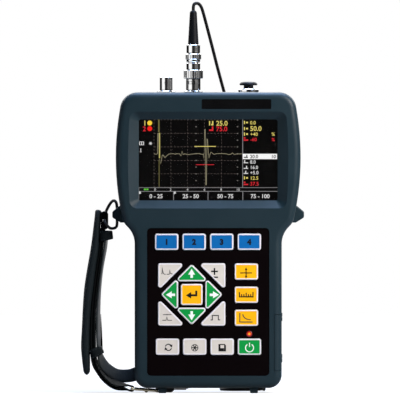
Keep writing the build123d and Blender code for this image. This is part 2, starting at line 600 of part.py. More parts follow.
def ear(side):
    """A shoulder ear with an upright cord hole; side is 1 on the right, -1 on the left."""
    with BuildPart() as lug:
        with BuildSketch(facing(EAR_Y + EAR_WIDTH / 2)):
            Polygon(*[(side * x, z) for x, z in EAR_OUTLINE], align=None)
        extrude(amount=EAR_WIDTH)
        outer = lug.edges().filter_by(Axis.Y).filter_by(lambda e: abs(e.center().X) > EAR_FOOT)
        fillet(outer, EAR_R)
        fillet(lug.faces().filter_by(Axis.Y).edges().filter_by(GeomType.CIRCLE), EAR_EDGE_R)
        ends = (side * EAR_HOLE_X, EAR_Y, EAR_LOW_Z - 5), (side * EAR_HOLE_X, EAR_Y, EAR_HIGH_Z + 9)
        add(rod(*ends, EAR_HOLE_R), mode=Mode.SUBTRACT)
    return lug.part


def stand_rod(reach, radius):
    """A rod on the stand's pivot line, to the same reach on both sides."""
    ends = (-reach, STAND_PIVOT_Y, STAND_PIVOT_Z), (reach, STAND_PIVOT_Y, STAND_PIVOT_Z)
    return rod(*ends, radius)


with BuildPart() as rear_shell:
    add(case_skin)
    split(bisect_by=facing(PARTING_Y), keep=Keep.BOTTOM)
    # Shadow line along the seam
    with BuildSketch(facing(PARTING_Y)):
        add(case_profile.sketch)
        offset(case_profile.sketch, amount=-SEAM_DEPTH, mode=Mode.SUBTRACT)
    extrude(amount=-SEAM_WIDTH, mode=Mode.SUBTRACT)
    # Screw posts, from the parting plane to the back
    with BuildSketch(facing(REAR_Y - WALL + 0.2)):
        for boss_x, boss_z in POST_PLACES:
            with Locations((boss_x, boss_z), (-boss_x, boss_z)):
                Circle(POST_R)
    extrude(amount=REAR_Y - WALL + 0.2 - PARTING_Y)
    # Battery bay
    with BuildSketch(facing(REAR_Y - WALL + 0.2)):
        with Locations((0, COVER_MID_Z)):
            Rectangle(2 * (BAY_COVER_HALF + BATTERY_SHELF), COVER_TALL + 2 * BATTERY_SHELF)
    extrude(amount=BATTERY_SHELF_T)
    with BuildSketch(facing(REAR_Y - WALL)):
        with Locations((0, BATTERY_MID_Z)):
            Rectangle(
                2 * (BATTERY_BAY_HALF + BATTERY_BAY_WALL), BATTERY_BAY_TALL + 2 * BATTERY_BAY_WALL
            )
        with Locations(*BATTERY_SCREWS):
            Circle(BATTERY_SCREW_BOSS_R)
    extrude(amount=REAR_Y - WALL - BATTERY_FRONT_Y + BATTERY_SEAT_GAP + BATTERY_BAY_FLOOR)
    with BuildSketch(facing(REAR_Y)):
        with Locations((0, BATTERY_MID_Z)):
            Rectangle(2 * BATTERY_BAY_HALF, BATTERY_BAY_TALL)
    extrude(amount=REAR_Y - BATTERY_FRONT_Y + BATTERY_SEAT_GAP, mode=Mode.SUBTRACT)
    with BuildSketch(facing(REAR_Y)):
        with Locations((0, COVER_MID_Z)):
            RectangleRounded(2 * (BAY_COVER_HALF + FIT), COVER_TALL + 2 * FIT, BAY_COVER_R)
    extrude(amount=BAY_COVER_T, mode=Mode.SUBTRACT)
    with BuildSketch(facing(REAR_Y)):
        with Locations(*BATTERY_SCREWS):
            Circle(BATTERY_SCREW_HOLE_R)
    extrude(amount=BATTERY_SCREW_DEPTH, mode=Mode.SUBTRACT)
    # Stand bay, with a finger scoop under the stand's foot
    with BuildSketch(facing(REAR_Y - WALL + 0.2)):
        with Locations((0, STAND_BAY_MID_Z)):
            Rectangle(
                2 * (STAND_PIVOT_REACH + STAND_BAY_WALL),
                STAND_BAY_TOP_Z - STAND_BAY_LOW_Z + 2 * STAND_BAY_WALL,
            )
        with Locations((0, STAND_BAY_LOW_Z)):
            Circle(SCOOP_R + STAND_BAY_WALL)
    extrude(amount=REAR_Y - WALL + 0.2 - STAND_BAY_FLOOR_Y + STAND_BAY_FLOOR)
    with BuildSketch(facing(REAR_Y)):
        with Locations((0, STAND_BAY_MID_Z)):
            Rectangle(2 * STAND_BAY_HALF, STAND_BAY_TOP_Z - STAND_BAY_LOW_Z)
        with Locations((0, STAND_BAY_LOW_Z)):
            Circle(SCOOP_R)
    extrude(amount=STAND_BAY_DEPTH, mode=Mode.SUBTRACT)
    add(stand_rod(STAND_PIVOT_REACH, STAND_PIN_R + PIN_GAP), mode=Mode.SUBTRACT)
    # Screw holes
    with BuildSketch(facing(REAR_Y + 1)):
        for boss_x, boss_z in POST_PLACES:
            with Locations((boss_x, boss_z), (-boss_x, boss_z)):
                Circle(COUNTERBORE_R)
    extrude(amount=COUNTERBORE_DEPTH + 1, mode=Mode.SUBTRACT)
    with BuildSketch(facing(REAR_Y)):
        for boss_x, boss_z in POST_PLACES:
            with Locations((boss_x, boss_z), (-boss_x, boss_z)):
                Circle(SCREW_R + 0.2)
    extrude(amount=REAR_Y - PARTING_Y + 1, mode=Mode.SUBTRACT)
    # Port bay
    add(
        block_between(
            (BAY_FLOOR_X - BAY_WALL, BAY_FRONT_Y - BAY_WALL, BAY_LOW_Z - BAY_WALL),
            (GRIP_HALF - LINER_INSET - 0.5, BAY_REAR_Y + BAY_WALL, BAY_HIGH_Z + BAY_WALL),
        )
    )
    add(
        block_between(
            (BAY_FLOOR_X, BAY_FRONT_Y, BAY_LOW_Z), (FAR, BAY_REAR_Y, BAY_HIGH_Z)
        ),
        mode=Mode.SUBTRACT,
    )
    # Door hinge
    for place in (TOP_KNUCKLE_SHELL, LOW_KNUCKLE_SHELL):
        add(hinge_rod(place, KNUCKLE_R))
    for place in (TOP_KNUCKLE_DOOR, LOW_KNUCKLE_DOOR):
        add(hinge_rod(place, KNUCKLE_R + DOOR_GAP, KNUCKLE_GAP), mode=Mode.SUBTRACT)
    for place in (TOP_KNUCKLE_SHELL, LOW_KNUCKLE_SHELL):
        add(hinge_rod(place, HINGE_PIN_R + PIN_GAP, 0.01), mode=Mode.SUBTRACT)
    # Socket holes in the top
    with BuildSketch(level(TOP_Z - WALL - 1)):
        with Locations((FREE_SOCKET_X, SOCKET_Y), (PLUGGED_SOCKET_X, SOCKET_Y)):
            Circle(BARREL_R + SOCKET_GAP)
        with Locations((AUX_SOCKET_X, SOCKET_Y)):
            Circle(AUX_R + SOCKET_GAP)
    extrude(amount=WALL + 2, mode=Mode.SUBTRACT)
    # Ears for the strap cord
    add(ear(1))
    add(ear(-1))
    # Loop for the strap's inner band
    add(
        block_between(
            (STRAP_LOOP_X - STRAP_LOOP_WIDTH / 2, REAR_Y - 0.5, STRAP_LOOP_LOW_Z),
            (STRAP_LOOP_X + STRAP_LOOP_WIDTH / 2, REAR_Y + STRAP_LOOP_REACH, STRAP_LOOP_HIGH_Z),
        )
    )
    add(
        block_between(
            (STRAP_LOOP_X - STRAP_LOOP_WIDTH, REAR_Y, STRAP_LOOP_LOW_Z + STRAP_LOOP_T),
            (
                STRAP_LOOP_X + STRAP_LOOP_WIDTH,
                REAR_Y + STRAP_LOOP_REACH - STRAP_LOOP_T,
                STRAP_LOOP_HIGH_Z - STRAP_LOOP_T,
            ),
        ),
        mode=Mode.SUBTRACT,
    )
    add(foot(-FOOT_X, REAR_FOOT_Y))
    add(foot(FOOT_X, REAR_FOOT_Y))
finish(rear_shell, "rear_shell")

# Seal between the shells, in a groove of its own depth inside the screws

with BuildPart() as shell_seal:
    with BuildSketch(facing(PARTING_Y)):
        offset(case_profile.sketch, amount=-WALL - SEAL_OUTER)
        offset(case_profile.sketch, amount=-WALL - SEAL_INNER, mode=Mode.SUBTRACT)
    extrude(amount=SEAL_HALF_T, both=True)
    for boss_x, boss_z in POST_PLACES:
        for side in (-1, 1):
            ends = (side * boss_x, PARTING_Y - 5, boss_z), (side * boss_x, PARTING_Y + 5, boss_z)
            add(rod(*ends, POST_R + 0.2), mode=Mode.SUBTRACT)
    add(
        block_between(
            (BAY_FLOOR_X - 4, PARTING_Y - 5, BAY_LOW_Z - 6), (FAR, PARTING_Y + 5, BAY_HIGH_Z + 6)
        ),
        mode=Mode.SUBTRACT,
    )
finish(shell_seal, "shell_seal")

# Display: window glued behind the surround, and the display module against it

with BuildPart() as display_window:
    with BuildSketch(facing(WINDOW_Y)):
        with Locations((0, WINDOW_MID_Z)):
            RectangleRounded(2 * WINDOW_HALF + 5, WINDOW_HIGH_Z - WINDOW_LOW_Z + 5, 2)
    extrude(amount=-WINDOW_T)
finish(display_window, "display_window")

with BuildPart() as lcd_panel:
    with BuildSketch(facing(WINDOW_Y + WINDOW_T)):
        with Locations((0, (LCD_LOW_Z + LCD_HIGH_Z) / 2)):
            Rectangle(2 * LCD_HALF, LCD_HIGH_Z - LCD_LOW_Z)
    extrude(amount=-LCD_T)
    with BuildSketch(facing(WINDOW_Y + WINDOW_T)):
        with Locations((0, (LCD_LOW_Z + LCD_HIGH_Z) / 2)):
            Rectangle(2 * (LCD_HALF - LCD_FRAME), LCD_HIGH_Z - LCD_LOW_Z - 2 * LCD_FRAME)
    extrude(amount=-LCD_STEP, mode=Mode.SUBTRACT)
finish(lcd_panel, "lcd_panel")

with BuildPart() as name_plate:
    with BuildSketch(facing(FRONT_Y + PLATE_DEPTH)):
        with Locations(((PLATE_LEFT + PLATE_RIGHT) / 2, (PLATE_LOW_Z + PLATE_HIGH_Z) / 2)):
            RectangleRounded(
                PLATE_RIGHT - PLATE_LEFT - 2 * PLATE_GAP,
                PLATE_HIGH_Z - PLATE_LOW_Z - 2 * PLATE_GAP,
                PLATE_R - PLATE_GAP,
            )
    extrude(amount=PLATE_T)
finish(name_plate, "name_plate")

# Keypad: overlay sheet, lamp, and the switch board behind the keys

with BuildPart() as keypad_overlay:
    with BuildSketch(facing(FRONT_Y + OVERLAY_DEPTH)):
        with Locations((0, (OVERLAY_LOW_Z + OVERLAY_HIGH_Z) / 2)):
            RectangleRounded(
                2 * (OVERLAY_HALF - OVERLAY_GAP),
                OVERLAY_HIGH_Z - OVERLAY_LOW_Z - 2 * OVERLAY_GAP,
                OVERLAY_R - OVERLAY_GAP,
            )
        for key_name in KEYS:
            add(key_outline(key_name, FIT), mode=Mode.SUBTRACT)
        with Locations((LED_X, LED_Z)):
            Circle(LED_R + LED_GAP, mode=Mode.SUBTRACT)
    extrude(amount=OVERLAY_T)
finish(keypad_overlay, "keypad_overlay")

with BuildPart() as power_led:
    with BuildSketch(facing(BOARD_Y)):
        with Locations((LED_X, LED_Z)):
            Circle(LED_R)
    extrude(amount=BOARD_Y - OVERLAY_Y + LED_PROUD)
    fillet(power_led.faces().sort_by(Axis.Y)[0].edges(), 0.9)
finish(power_led, "power_led")

with BuildPart() as keypad_board:
    with BuildSketch(facing(BOARD_Y)):
        with Locations((0, (BOARD_LOW_Z + BOARD_HIGH_Z) / 2)):
            Rectangle(2 * BOARD_HALF, BOARD_HIGH_Z - BOARD_LOW_Z)
    extrude(amount=-BOARD_T)
    # Domed switch under each key
    with BuildSketch(facing(BOARD_Y)):
        with Locations(*[key_middle(key_name) for key_name in KEYS]):
            Circle(DOME_R)
    extrude(amount=DOME_H)
    domes = keypad_board.faces().group_by(Axis.Y)[0]
    chamfer(domes.edges(), 0.4)
finish(keypad_board, "keypad_board")

# Main board

with BuildPart() as main_board:
    with BuildSketch(facing(MAIN_Y)):
        with Locations(((MAIN_LEFT + MAIN_RIGHT) / 2, (MAIN_LOW_Z + MAIN_HIGH_Z) / 2)):
            Rectangle(MAIN_RIGHT - MAIN_LEFT, MAIN_HIGH_Z - MAIN_LOW_Z)
    extrude(amount=-MAIN_T)
    for part_x, part_z, part_w, part_h, part_t in MAIN_PARTS:
        with BuildSketch(facing(MAIN_Y + MAIN_T)):
            with Locations((part_x, part_z)):
                Rectangle(part_w, part_h)
        extrude(amount=-part_t)
finish(main_board, "main_board")

# Battery

with BuildPart() as battery_pack:
    with BuildSketch(facing(BATTERY_FRONT_Y)):
        with Locations((0, BATTERY_MID_Z)):
            RectangleRounded(2 * BATTERY_HALF, BATTERY_HIGH_Z - BATTERY_LOW_Z, BATTERY_R)
    extrude(amount=-BATTERY_T)
    by_depth = battery_pack.faces().sort_by(Axis.Y)
    fillet(by_depth[0].edges() + by_depth[-1].edges(), BATTERY_EDGE_R)
finish(battery_pack, "battery_pack")

with BuildPart() as battery_cover:
    with BuildSketch(facing(REAR_Y)):
        with Locations((0, COVER_MID_Z)):
            RectangleRounded(2 * BAY_COVER_HALF, COVER_TALL, BAY_COVER_R - FIT)
    extrude(amount=BAY_COVER_T)
    chamfer(battery_cover.faces().sort_by(Axis.Y)[-1].edges(), 0.5)
    for grip_number in range(COVER_GRIPS):
        grip_z = BATTERY_MID_Z + (grip_number - (COVER_GRIPS - 1) / 2) * COVER_GRIP_PITCH
        ends = (-COVER_GRIP_HALF, REAR_Y + 0.3, grip_z), (COVER_GRIP_HALF, REAR_Y + 0.3, grip_z)
        add(rod(*ends, COVER_GRIP_R), mode=Mode.SUBTRACT)
    with Locations(*[Location((x, REAR_Y, z), (-90, 0, 0)) for x, z in BATTERY_SCREWS]):
        CounterBoreHole(COVER_SCREW_R, COVER_HEAD_R, COVER_HEAD_DEPTH)
finish(battery_cover, "battery_cover")


def screw(place, head_y, head_t, head_r, shank_r, length):
    """A cross-head screw driven from the back; head_y is the underside of its head."""
    with BuildPart() as fastener:
        with BuildSketch(facing(head_y)):
            with Locations(place):
                Circle(head_r)
        extrude(amount=-head_t)
        chamfer(fastener.faces().sort_by(Axis.Y)[-1].edges(), head_t * 0.3)
        with BuildSketch(facing(head_y)):
            with Locations(place):
                Circle(shank_r)
        extrude(amount=length)
        with BuildSketch(facing(head_y + head_t)):
            with Locations(place):
                Rectangle(head_r * 1.3, 0.5)
                Rectangle(0.5, head_r * 1.3)
        extrude(amount=head_t * 0.5, mode=Mode.SUBTRACT)
    return fastener.part


with BuildPart() as battery_screws:
    for place in BATTERY_SCREWS:
        head_y = REAR_Y - COVER_HEAD_DEPTH
        add(screw(place, head_y, BATTERY_HEAD_T, BATTERY_HEAD_R, BATTERY_SCREW_R, BATTERY_SCREW_LENGTH))
finish(battery_screws, "battery_screws")

with BuildPart() as shell_screws:
    head_y = REAR_Y - COUNTERBORE_DEPTH
    for boss_x, boss_z in POST_PLACES:
        for side in (-1, 1):
            place = (side * boss_x, boss_z)
            add(screw(place, head_y, SCREW_HEAD_T, SCREW_HEAD_R, SCREW_R, SCREW_LENGTH))
finish(shell_screws, "shell_screws")

# Port door, its hinge pins and the sockets behind it

with BuildPart() as port_door:
    add(case_solid)
    add(case_block(DOOR_T), mode=Mode.SUBTRACT)
    door_box = block_between((DOOR_FRONT_X, -FAR, DOOR_LOW_Z), (FAR, DOOR_REAR_Y, DOOR_HIGH_Z))
    add(door_box, mode=Mode.INTERSECT)
    for place in (TOP_KNUCKLE_SHELL, LOW_KNUCKLE_SHELL):
        add(hinge_rod(place, KNUCKLE_R + DOOR_GAP, KNUCKLE_GAP), mode=Mode.SUBTRACT)
    for place in (TOP_KNUCKLE_DOOR, LOW_KNUCKLE_DOOR):
        add(hinge_rod(place, KNUCKLE_R))
    for place in (TOP_KNUCKLE_DOOR, LOW_KNUCKLE_DOOR):
        add(hinge_rod(place, HINGE_PIN_R + PIN_GAP, 1), mode=Mode.SUBTRACT)
finish(port_door, "port_door")

with BuildPart() as port_hinge_pins:
    pin_length = 2 * KNUCKLE_LENGTH + KNUCKLE_GAP
    for pin_mid in (TOP_KNUCKLES_Z, LOW_KNUCKLES_Z):
        add(hinge_rod((pin_mid - pin_length / 2, pin_length), HINGE_PIN_R))
finish(port_hinge_pins, "port_hinge_pins")


def port_block(start, end, half_width, half_height):
    """A block in the port bay about the data socket's middle, from one depth to another."""
    return block_between(
        (BAY_FLOOR_X + start, PORT_Y - half_width, USB_Z - half_height),
        (BAY_FLOOR_X + end, PORT_Y + half_width, USB_Z + half_height),
    )


def port_rod(start, end, radius):
    """A rod in the port bay on the power jack's line, from one depth to another."""
    return rod((BAY_FLOOR_X + start, PORT_Y, JACK_Z), (BAY_FLOOR_X + end, PORT_Y, JACK_Z), radius)


with BuildPart() as usb_socket:
    add(port_block(0, PORT_REACH, USB_HALF_W, USB_HALF_H))
    mouth = port_block(PORT_FLOOR, PORT_REACH + 1, USB_HALF_W - USB_WALL, USB_HALF_H - USB_WALL)
    add(mouth, mode=Mode.SUBTRACT)
    add(port_block(0, USB_TONGUE_REACH, USB_TONGUE_HALF_W, USB_TONGUE_HALF_H))
finish(usb_socket, "usb_socket")

with BuildPart() as power_jack:
    add(port_rod(0, PORT_REACH, JACK_R))
    add(port_rod(PORT_FLOOR, PORT_REACH + 1, JACK_BORE_R), mode=Mode.SUBTRACT)
    add(port_rod(0, JACK_PIN_REACH, JACK_PIN_R))
finish(power_jack, "power_jack")

# Folding stand

with BuildPart() as kickstand:
    with BuildSketch(facing(STAND_PIVOT_Y + STAND_T / 2)):
        with BuildLine():
            Polyline(
                (-STAND_HALF, STAND_PIVOT_Z),
                (-STAND_HALF + STAND_TAPER, STAND_FOOT_Z),
                (STAND_HALF - STAND_TAPER, STAND_FOOT_Z),
                (STAND_HALF, STAND_PIVOT_Z),
                close=True,
            )
        make_face()
    extrude(amount=STAND_T)
    fillet(kickstand.edges().filter_by(Axis.Y).group_by(Axis.Z)[0], STAND_CORNER_R)
    add(stand_rod(STAND_HALF, STAND_T / 2))
    add(stand_rod(STAND_HALF + STAND_PIN_LENGTH, STAND_PIN_R))
    # Pockets moulded into the hidden face, leaving ribs
    with BuildSketch(facing(STAND_PIVOT_Y - STAND_T / 2)):
        with Locations((0, (STAND_PIVOT_Z + STAND_FOOT_Z) / 2)):
            with GridLocations(POCKET_PITCH_X, POCKET_PITCH_Z, 2, 4):
                RectangleRounded(POCKET_SIDE, POCKET_SIDE, POCKET_R)
    extrude(amount=-STAND_T + STAND_SKIN, mode=Mode.SUBTRACT)
finish(kickstand, "kickstand")

# Sockets in the top


def bulkhead_socket(x, name):
    """A bayonet socket: turned body with an inner flange and two locking lugs."""
    with BuildPart() as socket:
        add(
            turned(
                x,
                SOCKET_Y,
                [
                    (SOCKET_TAIL_BORE_R, SOCKET_TAIL_Z),
                    (SOCKET_TAIL_R, SOCKET_TAIL_Z),
                    (SOCKET_TAIL_R, INNER_TOP_Z - SOCKET_FLANGE_T),
                    (SOCKET_FLANGE_R, INNER_TOP_Z - SOCKET_FLANGE_T),
                    (SOCKET_FLANGE_R, INNER_TOP_Z),
                    (BARREL_R, INNER_TOP_Z),
                    (BARREL_R, BARREL_TOP_Z - BARREL_EDGE),
                    (BARREL_R - BARREL_EDGE, BARREL_TOP_Z),
                    (BARREL_BORE_R, BARREL_TOP_Z),
                    (BARREL_BORE_R, BORE_FLOOR_Z),
                    (SOCKET_TAIL_BORE_R, BORE_FLOOR_Z),
                ],
            )
        )
        for side in (-1, 1):
            add(
                rod(
                    (x, SOCKET_Y + side * (BARREL_BORE_R + 0.3), LUG_Z),
                    (x, SOCKET_Y + side * LUG_REACH, LUG_Z),
                    LUG_R,
                )
            )
    finish(socket, name)


bulkhead_socket(FREE_SOCKET_X, "free_socket")
bulkhead_socket(PLUGGED_SOCKET_X, "plugged_socket")

with BuildPart() as socket_insulators:
    for socket_x in (FREE_SOCKET_X, PLUGGED_SOCKET_X):
        add(
            turned(
                socket_x,
                SOCKET_Y,
                [
                    (CONTACT_HOLE_R, SOCKET_TAIL_Z),
                    (SOCKET_TAIL_BORE_R - SOCKET_GAP, SOCKET_TAIL_Z),
                    (SOCKET_TAIL_BORE_R - SOCKET_GAP, BORE_FLOOR_Z),
                    (BARREL_BORE_R - SOCKET_GAP, BORE_FLOOR_Z),
                    (BARREL_BORE_R - SOCKET_GAP, BORE_FLOOR_Z + INSULATOR_FLANGE_T),
                    (INSULATOR_R, BORE_FLOOR_Z + INSULATOR_FLANGE_T),
                    (INSULATOR_R, INSULATOR_TOP_Z),
                    (CONTACT_HOLE_R, INSULATOR_TOP_Z),
                ],
            )
        )
finish(socket_insulators, "socket_insulators")

with BuildPart() as socket_contacts:
    for socket_x in (FREE_SOCKET_X, PLUGGED_SOCKET_X):
        add(
            turned(
                socket_x,
                SOCKET_Y,
                [
                    (0, CONTACT_LOW_Z),
                    (CONTACT_R, CONTACT_LOW_Z),
                    (CONTACT_R, CONTACT_TOP_Z),
                    (CONTACT_BORE_R, CONTACT_TOP_Z),
                    (CONTACT_BORE_R, CONTACT_BORE_Z),
                    (0, CONTACT_BORE_Z),
                ],
            )
        )
finish(socket_contacts, "socket_contacts")

with BuildPart() as socket_nuts:
    for socket_x in (FREE_SOCKET_X, PLUGGED_SOCKET_X):
        add(
            turned(
                socket_x,
                SOCKET_Y,
                [
                    (BARREL_R + SOCKET_GAP, TOP_Z),
                    (NUT_R, TOP_Z),
                    (NUT_R, TOP_Z + NUT_T - NUT_EDGE),
                    (NUT_R - NUT_EDGE, TOP_Z + NUT_T),
                    (BARREL_R + SOCKET_GAP, TOP_Z + NUT_T),
                ],
            )
        )
finish(socket_nuts, "socket_nuts")

with BuildPart() as aux_socket:
    add(
        turned(
            AUX_SOCKET_X,
            SOCKET_Y,
            [
                (0, AUX_LOW_Z),
                (AUX_R, AUX_LOW_Z),
                (AUX_R, INNER_TOP_Z - SOCKET_FLANGE_T),
                (AUX_FLANGE_R, INNER_TOP_Z - SOCKET_FLANGE_T),
                (AUX_FLANGE_R, INNER_TOP_Z),
                (AUX_R, INNER_TOP_Z),
                (AUX_R, TOP_Z),
                (AUX_CAP_R, TOP_Z),
                (AUX_CAP_R, TOP_Z + AUX_CAP_T - AUX_EDGE),
                (AUX_CAP_R - AUX_EDGE, TOP_Z + AUX_CAP_T),
                (AUX_BORE_R, TOP_Z + AUX_CAP_T),
                (AUX_BORE_R, AUX_FLOOR_Z),
                (0, AUX_FLOOR_Z),
            ],
        )
    )
finish(aux_socket, "aux_socket")

with BuildPart() as dust_plug:
    add(
        turned(
            AUX_SOCKET_X,
            SOCKET_Y,
            [
                (0, DUST_TIP_Z),
                (DUST_PLUG_TIP_R, DUST_TIP_Z),
                (DUST_PLUG_R, DUST_TIP_Z + 0.6),
                (DUST_PLUG_R, DUST_CAP_Z),
                (DUST_CAP_R - 0.35, DUST_CAP_Z),
                (DUST_CAP_R, DUST_CAP_Z + 0.4),
                (DUST_CAP_R, DUST_CAP_Z + 1.2),
                (DUST_CAP_R - 0.75, DUST_TOP_Z - 0.7),
                (DUST_CAP_R - 2.45, DUST_TOP_Z - 0.2),
                (2.0, DUST_TOP_Z),
                (0, DUST_TOP_Z),
            ],
        )
    )
finish(dust_plug, "dust_plug")

# Probe plug on the second socket, locked by its coupling nut


def slot_wedge(low_z, high_z, middle, half_turn):
    """A wedge of a disc about the plug's line, between two angles."""
    with BuildPart() as wedge:
        with BuildSketch(Plane((PLUGGED_SOCKET_X, SOCKET_Y, low_z))):
            with BuildLine():
                rim = CenterArc((0, 0), SLOT_REACH, middle - half_turn, 2 * half_turn)
                Line((0, 0), rim @ 0)
                Line(rim @ 1, (0, 0))
            make_face()
        extrude(amount=high_z - low_z)
    return wedge.part


with BuildPart() as coupling_nut:
    add(
        turned(
            PLUGGED_SOCKET_X,
            SOCKET_Y,
            [
                (SLEEVE_BORE_R, SLEEVE_LOW_Z),
                (SLEEVE_R, SLEEVE_LOW_Z),
                (SLEEVE_R, GRIP_LOW_Z),
                (GRIP_R - GRIP_EDGE, GRIP_LOW_Z),
                (GRIP_R, GRIP_LOW_Z + GRIP_EDGE),
                (GRIP_R, GRIP_HIGH_Z - GRIP_EDGE),
                (GRIP_R - GRIP_EDGE, GRIP_HIGH_Z),
                (GRIP_BORE_R, GRIP_HIGH_Z),
                (GRIP_BORE_R, SLEEVE_HIGH_Z),
                (SLEEVE_BORE_R, SLEEVE_HIGH_Z),
            ],
        )
    )
    # A slot for each lug: round the sleeve, then down to its rim
    slot_half = math.degrees(math.asin((LUG_R + SLOT_GAP) / SLEEVE_BORE_R))
    slot_low_z, slot_high_z = LUG_Z - LUG_R - SLOT_GAP, LUG_Z + LUG_R + SLOT_GAP
    for lug_angle in (-90, 90):
        half_turn = UNLOCK_TURN / 2
        run = slot_wedge(slot_low_z, slot_high_z, lug_angle - half_turn, slot_half + half_turn)
        mouth = slot_wedge(SLEEVE_LOW_Z - 1, slot_high_z, lug_angle - UNLOCK_TURN, slot_half)
        add(run, mode=Mode.SUBTRACT)
        add(mouth, mode=Mode.SUBTRACT)
    with BuildSketch(Plane((PLUGGED_SOCKET_X, SOCKET_Y, GRIP_LOW_Z - 1))):
        with PolarLocations(GRIP_R + GROOVE_OUT, NUT_GROOVES):
            Circle(NUT_GROOVE_R)
    extrude(amount=GRIP_HIGH_Z - GRIP_LOW_Z + 2, mode=Mode.SUBTRACT)
finish(coupling_nut, "coupling_nut")

with BuildPart() as plug_body:
    add(
        turned(
            PLUGGED_SOCKET_X,
            SOCKET_Y,
            [
                (PLUG_SKIRT_BORE_R, PLUG_SKIRT_LOW_Z),
                (PLUG_SKIRT_R, PLUG_SKIRT_LOW_Z),
                (PLUG_SKIRT_R, PLUG_COLLAR_LOW_Z),
                (PLUG_COLLAR_R, PLUG_COLLAR_LOW_Z),
                (PLUG_COLLAR_R, PLUG_COLLAR_HIGH_Z),
                (PLUG_NECK_R, PLUG_COLLAR_HIGH_Z),
                (PLUG_NECK_R, GRIP_HIGH_Z + 0.3),
                (PLUG_R, GRIP_HIGH_Z + 0.3),
                (PLUG_R, PLUG_GROOVE_LOW_Z),
                (PLUG_GROOVE_R, PLUG_GROOVE_LOW_Z + 0.4),
                (PLUG_GROOVE_R, PLUG_GROOVE_HIGH_Z - 0.4),
                (PLUG_R, PLUG_GROOVE_HIGH_Z),
                (PLUG_R, PLUG_TOP_Z),
                (0, PLUG_TOP_Z),
                (0, PLUG_FLOOR_Z),
                (PLUG_SKIRT_BORE_R, PLUG_FLOOR_Z),
            ],
        )
    )
finish(plug_body, "plug_body")

with BuildPart() as plug_clamp:
    add(
        turned(
            PLUGGED_SOCKET_X,
            SOCKET_Y,
            [
                (0, PLUG_TOP_Z),
                (CLAMP_RING_R - GRIP_EDGE, PLUG_TOP_Z),
                (CLAMP_RING_R, PLUG_TOP_Z + GRIP_EDGE),
                (CLAMP_RING_R, CLAMP_RING_TOP_Z - GRIP_EDGE),
                (CLAMP_RING_R - GRIP_EDGE, CLAMP_RING_TOP_Z),
                (CLAMP_NECK_R, CLAMP_RING_TOP_Z),
                (CLAMP_NECK_R, CLAMP_LOW_Z - 0.3),
                (CLAMP_R, CLAMP_LOW_Z),
                (CLAMP_R, BOOT_LOW_Z - 0.3),
                (CLAMP_R - 0.3, BOOT_LOW_Z),
                (0, BOOT_LOW_Z),
            ],
        )
    )
    with BuildSketch(Plane((PLUGGED_SOCKET_X, SOCKET_Y, PLUG_TOP_Z - 1))):
        with PolarLocations(CLAMP_RING_R + GROOVE_OUT, CLAMP_GROOVES):
            Circle(CLAMP_GROOVE_R)
    extrude(amount=CLAMP_RING_TOP_Z - PLUG_TOP_Z + 1, mode=Mode.SUBTRACT)
finish(plug_clamp, "plug_clamp")

with BuildPart() as cable_boot:
    add(
        turned(
            PLUGGED_SOCKET_X,
            SOCKET_Y,
            [
                (0, BOOT_LOW_Z),
                (BOOT_LOW_R, BOOT_LOW_Z),
                (BOOT_LOW_R, BOOT_LOW_Z + 1.2),
                *BOOT_TAPER,
                (0, BOOT_TOP_Z),
            ],
        )
    )
finish(cable_boot, "cable_boot")

# Probe cable: up out of the boot, over, down behind the case, and along the floor to its coil

CABLE_ROUTE = [
    (PLUGGED_SOCKET_X, SOCKET_Y, BOOT_TOP_Z),
    (PLUGGED_SOCKET_X, SOCKET_Y, 290.9),
    (-9.3, 9.3, 293.3),
    (-6.7, 11.1, 293.3),
    (-4.9, 12.5, 290.7),
    (-3.4, 14.0, 285.2),
    (-1.2, 16.2, 275.8),
    (2.0, 19.2, 262.6),
    (6.6, 23.4, 244.8),
    (12.4, 27.6, 224.0),
    (20.0, 30.6, 199.0),
    (29.0, 31.6, 172.0),
    (37.5, 32.0, 142.0),
    (42.5, 32.4, 108.0),
    (44.2, 32.8, 74.0),
    (43.8, 33.4, 44.0),
    (43.2, 34.6, 24.0),
    (42.8, 36.6, 11.5),
    (42.5, 40.2, 4.2),
    (COIL_X + COIL_OUTER_R, 45.4, COIL_LOW_Z),
    (COIL_X + COIL_OUTER_R, COIL_Y - COIL_LEAD, COIL_LOW_Z),
]
TAIL_ROUTE = [
    (COIL_X - COIL_LEAD, COIL_Y + COIL_OUTER_R, COIL_TOP_Z),
    (11.2, COIL_Y + COIL_OUTER_R, COIL_TOP_Z),
    (6.8, 78.0, 7.6),
    (2.2, 77.6, 5.4),
    (-2.4, 77.4, 4.3),
    (-6.4, 77.4, 4.3),
]


def corner_radii(route):
    """The largest arc that the runs beside each corner of a route allow."""
    points = [Vector(*point) for point in route]
    radii = []
    for before, corner, after in zip(points, points[1:], points[2:]):
        run_in, run_out = corner - before, after - corner
        half_turn = math.radians(run_in.get_angle(run_out)) / 2
        radii.append(0.45 * min(run_in.length, run_out.length) / math.tan(half_turn))
    return radii


def tube(route, radius):
    """A round tube along straight runs joined by tangent arcs."""
    radii = corner_radii(route)
    with BuildPart() as swept:
        with BuildLine() as path:
            FilletPolyline(*route, radius=radii)
        start = path.wires()[0]
        with BuildSketch(Plane(route[0], z_dir=start % 0)):
            Circle(radius)
        sweep(path=start)
    section = math.pi * radius**2
    print(
        "route length", round(start.length, 1),
        "smallest radius", round(min(radii), 2),
        "volume", round(swept.part.volume, 1), "of", round(section * start.length, 1),
    )
    return swept.part


with BuildPart() as probe_cable:
    add(tube(CABLE_ROUTE, CABLE_R))
    add(tube(TAIL_ROUTE, CABLE_R))
finish(probe_cable, "probe_cable")

